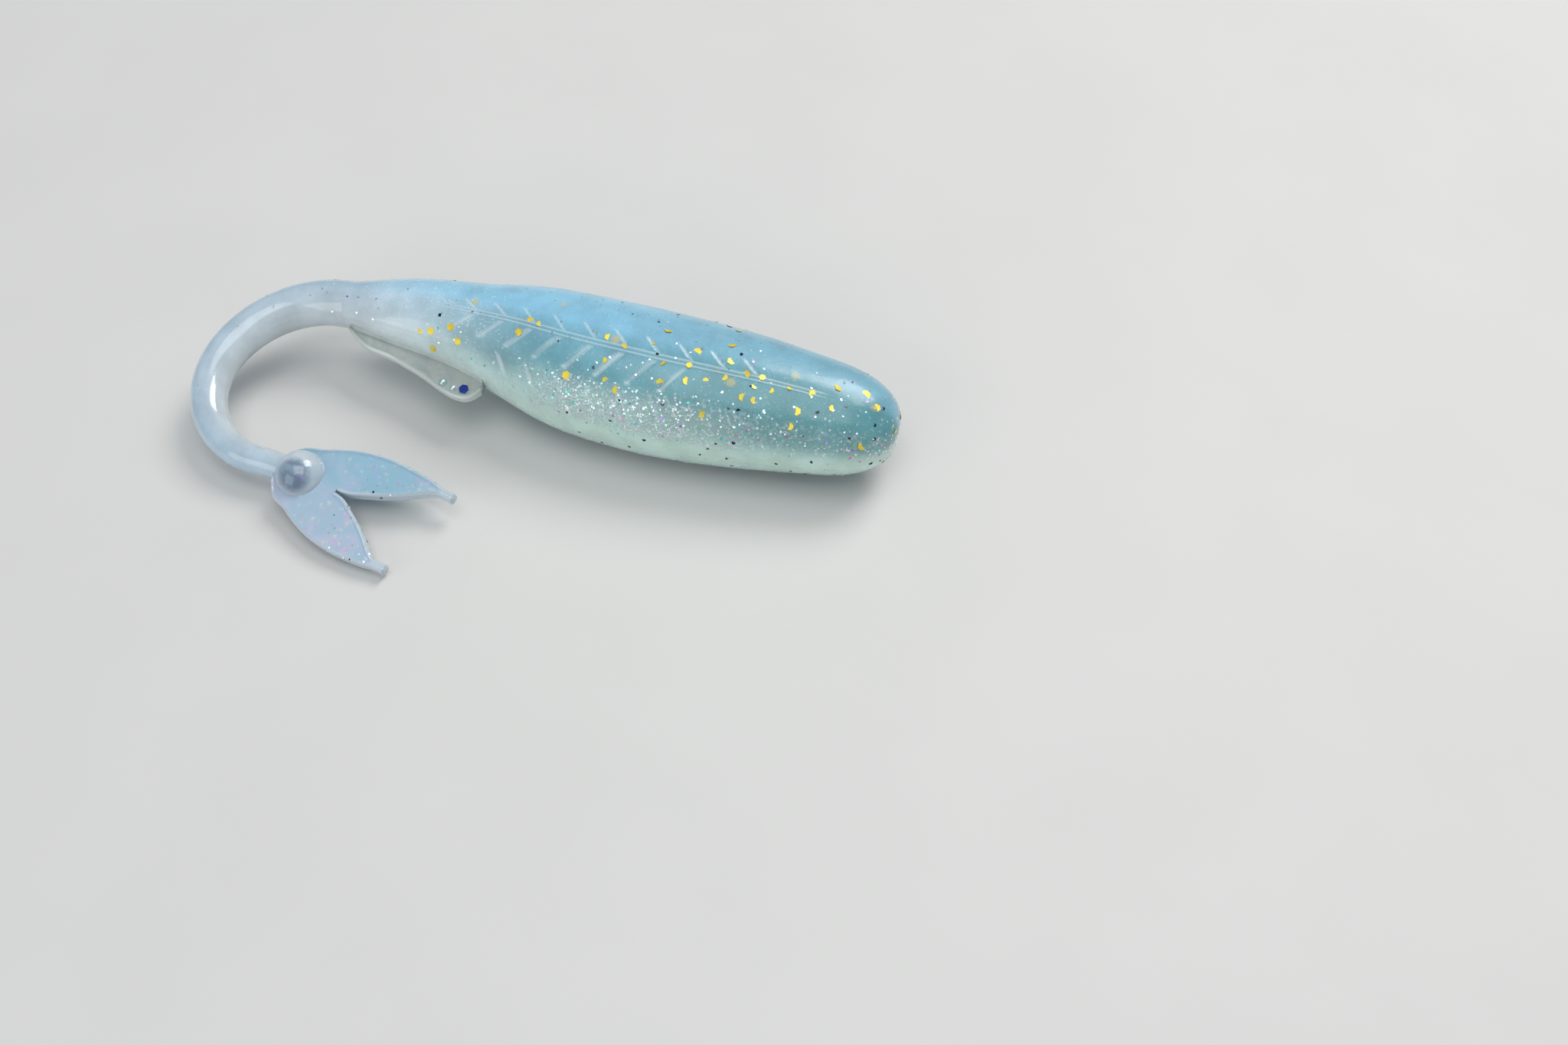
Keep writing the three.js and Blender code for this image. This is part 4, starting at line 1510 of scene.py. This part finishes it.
@dataclass
class ForkTail:
    """The tail ball, the web round it and the two lobes with their square mould nubs."""

    spine: Spine
    mould: Mould
    heading: float = math.radians(-14)
    halves: tuple[HalfFork, HalfFork] = (UPPER_HALF, LOWER_HALF)
    ball_radius: float = 2.25
    ball_shift: float = 0.25
    web_end: float = 4.1
    hinge_end: float = 8.2
    web_start: float = -2.0
    web_step: float = 0.15
    lobe_step: float = 0.12
    nub_run: float = 1.35
    end_bevel: float = 0.03
    nub_thinning: float = 0.12
    # Aim and edge of the painted slate patch of dark refraction on each face of the ball.
    painted_refraction_aim: tuple[float, float, float] = (0.14, -0.39, 0.91)
    painted_refraction_edge: tuple[float, float] = (0.64, 0.9)
    plate: Plate = field(default_factory=Plate)
    glitter: Glitter = field(default_factory=Glitter)

    def build(self) -> None:
        """Builds the ball, the web and the lobes."""
        self.build_ball()
        self.build_web()
        tree = self.glitter.build()
        for half in self.halves:
            self.build_lobe(half, tree)

    def place(self, points: np.ndarray) -> np.ndarray:
        """Takes points of the fork's own frame to the row's frame."""
        middles, _ = self.spine.line(np.array([self.spine.body_length + self.spine.stem_length]))
        cos, sin = math.cos(self.heading), math.sin(self.heading)
        x = middles[0, 0] + points[..., 0] * cos - points[..., 1] * sin
        y = middles[0, 1] + points[..., 0] * sin + points[..., 1] * cos
        return self.mould.place(np.stack([x, y, points[..., 2]], axis=-1))

    def build_ball(self) -> None:
        """Builds the clear ball, with a painted slate-blue patch of dark refraction on each of its two
        faces.
        """
        unit = ball_rings(np.zeros(3), 1.0, 44, 64)
        placed = self.place(unit * self.ball_radius + [self.ball_shift, 0, 0])[:, ::-1]
        # The painted dark refraction patch sits round the aim, on both faces.
        aim = np.array(self.painted_refraction_aim) / np.linalg.norm(self.painted_refraction_aim)
        facing = np.maximum(unit @ aim, unit @ -aim)[:, ::-1]
        numbers = {"rim": 0 * facing, "tint": smooth_step(facing, *self.painted_refraction_edge)}
        clear = Material.BALL.made
        ball = link("tail_ball_skin", tube_mesh("tail_ball_skin", placed, grid_normals(placed), numbers,
                                                clear, clear))
        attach(ball, "tail")
        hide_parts("tail_ball")
        log.info("tail ball: %d faces", len(ball.data.polygons))

    def build_web(self) -> None:
        """Builds the web, from the neck to the crotch."""
        opening = self.web_start + 2.2 * (1 - np.cos(np.linspace(0, math.pi / 2, 30)))
        x = np.concatenate([opening, np.arange(0.35, self.web_end - 0.04, self.web_step),
                            [self.web_end, self.web_end + 0.1]])
        left, right = (half.side * smooth_line(half.outer)(x) for half in self.halves)
        points, rim = self.plate.rings(x, left, right, np.full(len(x), self.plate.half_thickness))
        placed = self.place(points)
        normals = grid_normals(placed)
        numbers = {"rim": rim[:-1], "tint": self.upper_share(points)[:-1]}
        mesh = tube_mesh("tail_web_skin", placed[:-1], normals[:-1], numbers,
                         Material.FORK.made, Material.SEAM.made)
        web = link("tail_web_skin", mesh)
        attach(web, "tail")
        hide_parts("tail_web")
        log.info("web: %d faces", len(mesh.polygons))

    def upper_share(self, points: np.ndarray) -> np.ndarray:
        """How much of the upper lobe's own colour each point of the fork has."""
        return smooth_step(points[..., 1], -1.6, 1.6)

    def build_lobe(self, half: HalfFork, tree: bpy.types.NodeTree) -> None:
        """Builds one lobe with its nub and its flakes.

        Args:
            half: The lobe's outline.
            tree: The tree that scatters flakes.
        """
        word, tip = half.word, half.tip
        bevel = tip - self.end_bevel
        x = np.concatenate([[self.web_end - 0.1], np.arange(self.web_end, tip - 1.4, self.lobe_step),
                            np.linspace(tip - self.nub_run, bevel, 16), [tip]])
        end_round = np.maximum(x - bevel, 0) * 1.5
        left, right = half.edges(x)
        thinning = self.nub_thinning * smooth_step(x, tip - 2.0, tip - 1.1)
        thick = self.plate.half_thickness - thinning - end_round
        points, rim = self.plate.rings(x, left - end_round, right + end_round, thick)
        rim = np.maximum(rim, 0.8 * smooth_step(x, tip - 1.6, tip - 1.0)[:, None])
        placed = self.place(points)
        normals = grid_normals(placed)
        inside = smooth_step(x, 5.0, 6.0) * (1 - smooth_step(x, tip - 2.1, tip - 1.6))
        share = inside[:, None] * (0.25 + 0.75 * rim) + 0 * rim
        numbers = {"rim": rim, "tint": self.upper_share(points), "gold_share": 0 * share,
                   "pepper_share": share, "dust_share": 0.6 * share}
        kept = {name: values[1:] for name, values in numbers.items()}
        mesh = tube_mesh(f"lobe_{word}_skin", placed[1:], normals[1:], kept, Material.FORK.made,
                         Material.SEAM.made)
        dress_end(mesh, placed.shape[1], 1)
        lobe = link(f"lobe_{word}_skin", mesh)
        flakes = lay_flakes(f"lobe_{word}_glitter", mesh, tree, 7000 + 50 * half.side, size=0.8)
        start, end = self.place(np.array([[self.web_end, 0, 0], [self.hinge_end, 0, 0]], float))
        for piece in (lobe, flakes):
            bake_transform(piece)
        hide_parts(f"lobe_{word}", f"lobe_{word}_tip")
        log.info("%s lobe: %d faces, %d in its glitter", word, len(mesh.polygons),
                 len(flakes.data.polygons))


# ---- camera and light ----------------------------------------------------------------------------

@dataclass(frozen=True)
class Studio:
    """Camera, soft lights and floor."""

    azimuth: float = math.radians(14.22)
    elevation: float = math.radians(54.0)
    focal_share: float = 1934 / 2048
    sensor: float = 36.0
    reach: float = 0.1289
    target: tuple[float, float] = (0.02345, -0.00024)

    def camera(self) -> None:
        """Places the camera at its viewing angle over the floor."""
        data = bpy.data.cameras.new("camera")
        data.sensor_width = self.sensor
        data.lens = self.focal_share * self.sensor
        data.clip_start = 0.005
        data.dof.use_dof = False
        camera = self.put("camera", data, self.azimuth, self.elevation, self.reach)
        camera.location += Vector((*self.target, 0))
        bpy.context.scene.camera = camera

    def put(self, name: str, data: bpy.types.ID, azimuth: float, elevation: float,
            distance: float) -> bpy.types.Object:
        """Puts a camera or a light round the middle of the floor, facing it.

        Args:
            name: The object's name.
            data: The camera or the light.
            azimuth: The angle round the middle, 0 on the near side.
            elevation: The angle over the floor.
            distance: Metres from the middle.

        Returns:
            The object.
        """
        back = Vector((math.sin(azimuth) * math.cos(elevation),
                       -math.cos(azimuth) * math.cos(elevation), math.sin(elevation)))
        made = bpy.data.objects.new(name, data)
        made.location = back * distance
        made.rotation_euler = back.to_track_quat("Z", "Y").to_euler()
        bpy.context.scene.collection.objects.link(made)
        return made

    def light(self, name: str, azimuth: float, elevation: float, distance: float, size: float,
              power: float, colour: Colour = (1, 1, 1)) -> None:
        """Adds a square soft light that faces the worm.

        Args:
            name: The light's name.
            azimuth: Degrees round the middle of the floor, 0 on the near side.
            elevation: Degrees over the floor.
            distance: Metres from the middle of the floor.
            size: The light's width in metres.
            power: Its power in watts.
            colour: Its colour.
        """
        data = bpy.data.lights.new(name, "AREA")
        data.energy, data.size, data.color = power, size, colour
        self.put(name, data, math.radians(azimuth), math.radians(elevation), distance)

    def build(self) -> None:
        """Builds the camera, the lights, the sky and the floor."""
        self.camera()
        self.light("key", 150, 52, 0.55, 0.26, 1.5, (1.0, 0.98, 0.95))
        self.light("overhead", 20, 80, 0.7, 0.5, 1.6)
        self.light("fill", -30, 22, 0.6, 0.4, 0.8, (0.97, 0.99, 1.0))
        world = bpy.data.worlds.new("studio")
        world.use_nodes = True
        sky = world.node_tree.nodes["Background"].inputs
        sky["Color"].default_value = (0.85, 0.9, 0.95, 1)
        sky["Strength"].default_value = 0.36
        bpy.context.scene.world = world
        bpy.context.scene.view_settings.view_transform = "Standard"
        Floor().build()


# ---- the whole worm ------------------------------------------------------------------------------

def main() -> None:
    """Builds the studio and every part of the worm in order."""
    logging.basicConfig(level=logging.INFO, format="%(name)s: %(message)s")
    Studio().build()
    spine = Spine()
    mould = Mould.from_frame(spine)
    Skin(spine, mould).build()
    Keel(spine, mould).build()
    ForkTail(spine, mould).build()


if __name__ == "__main__":
    main()
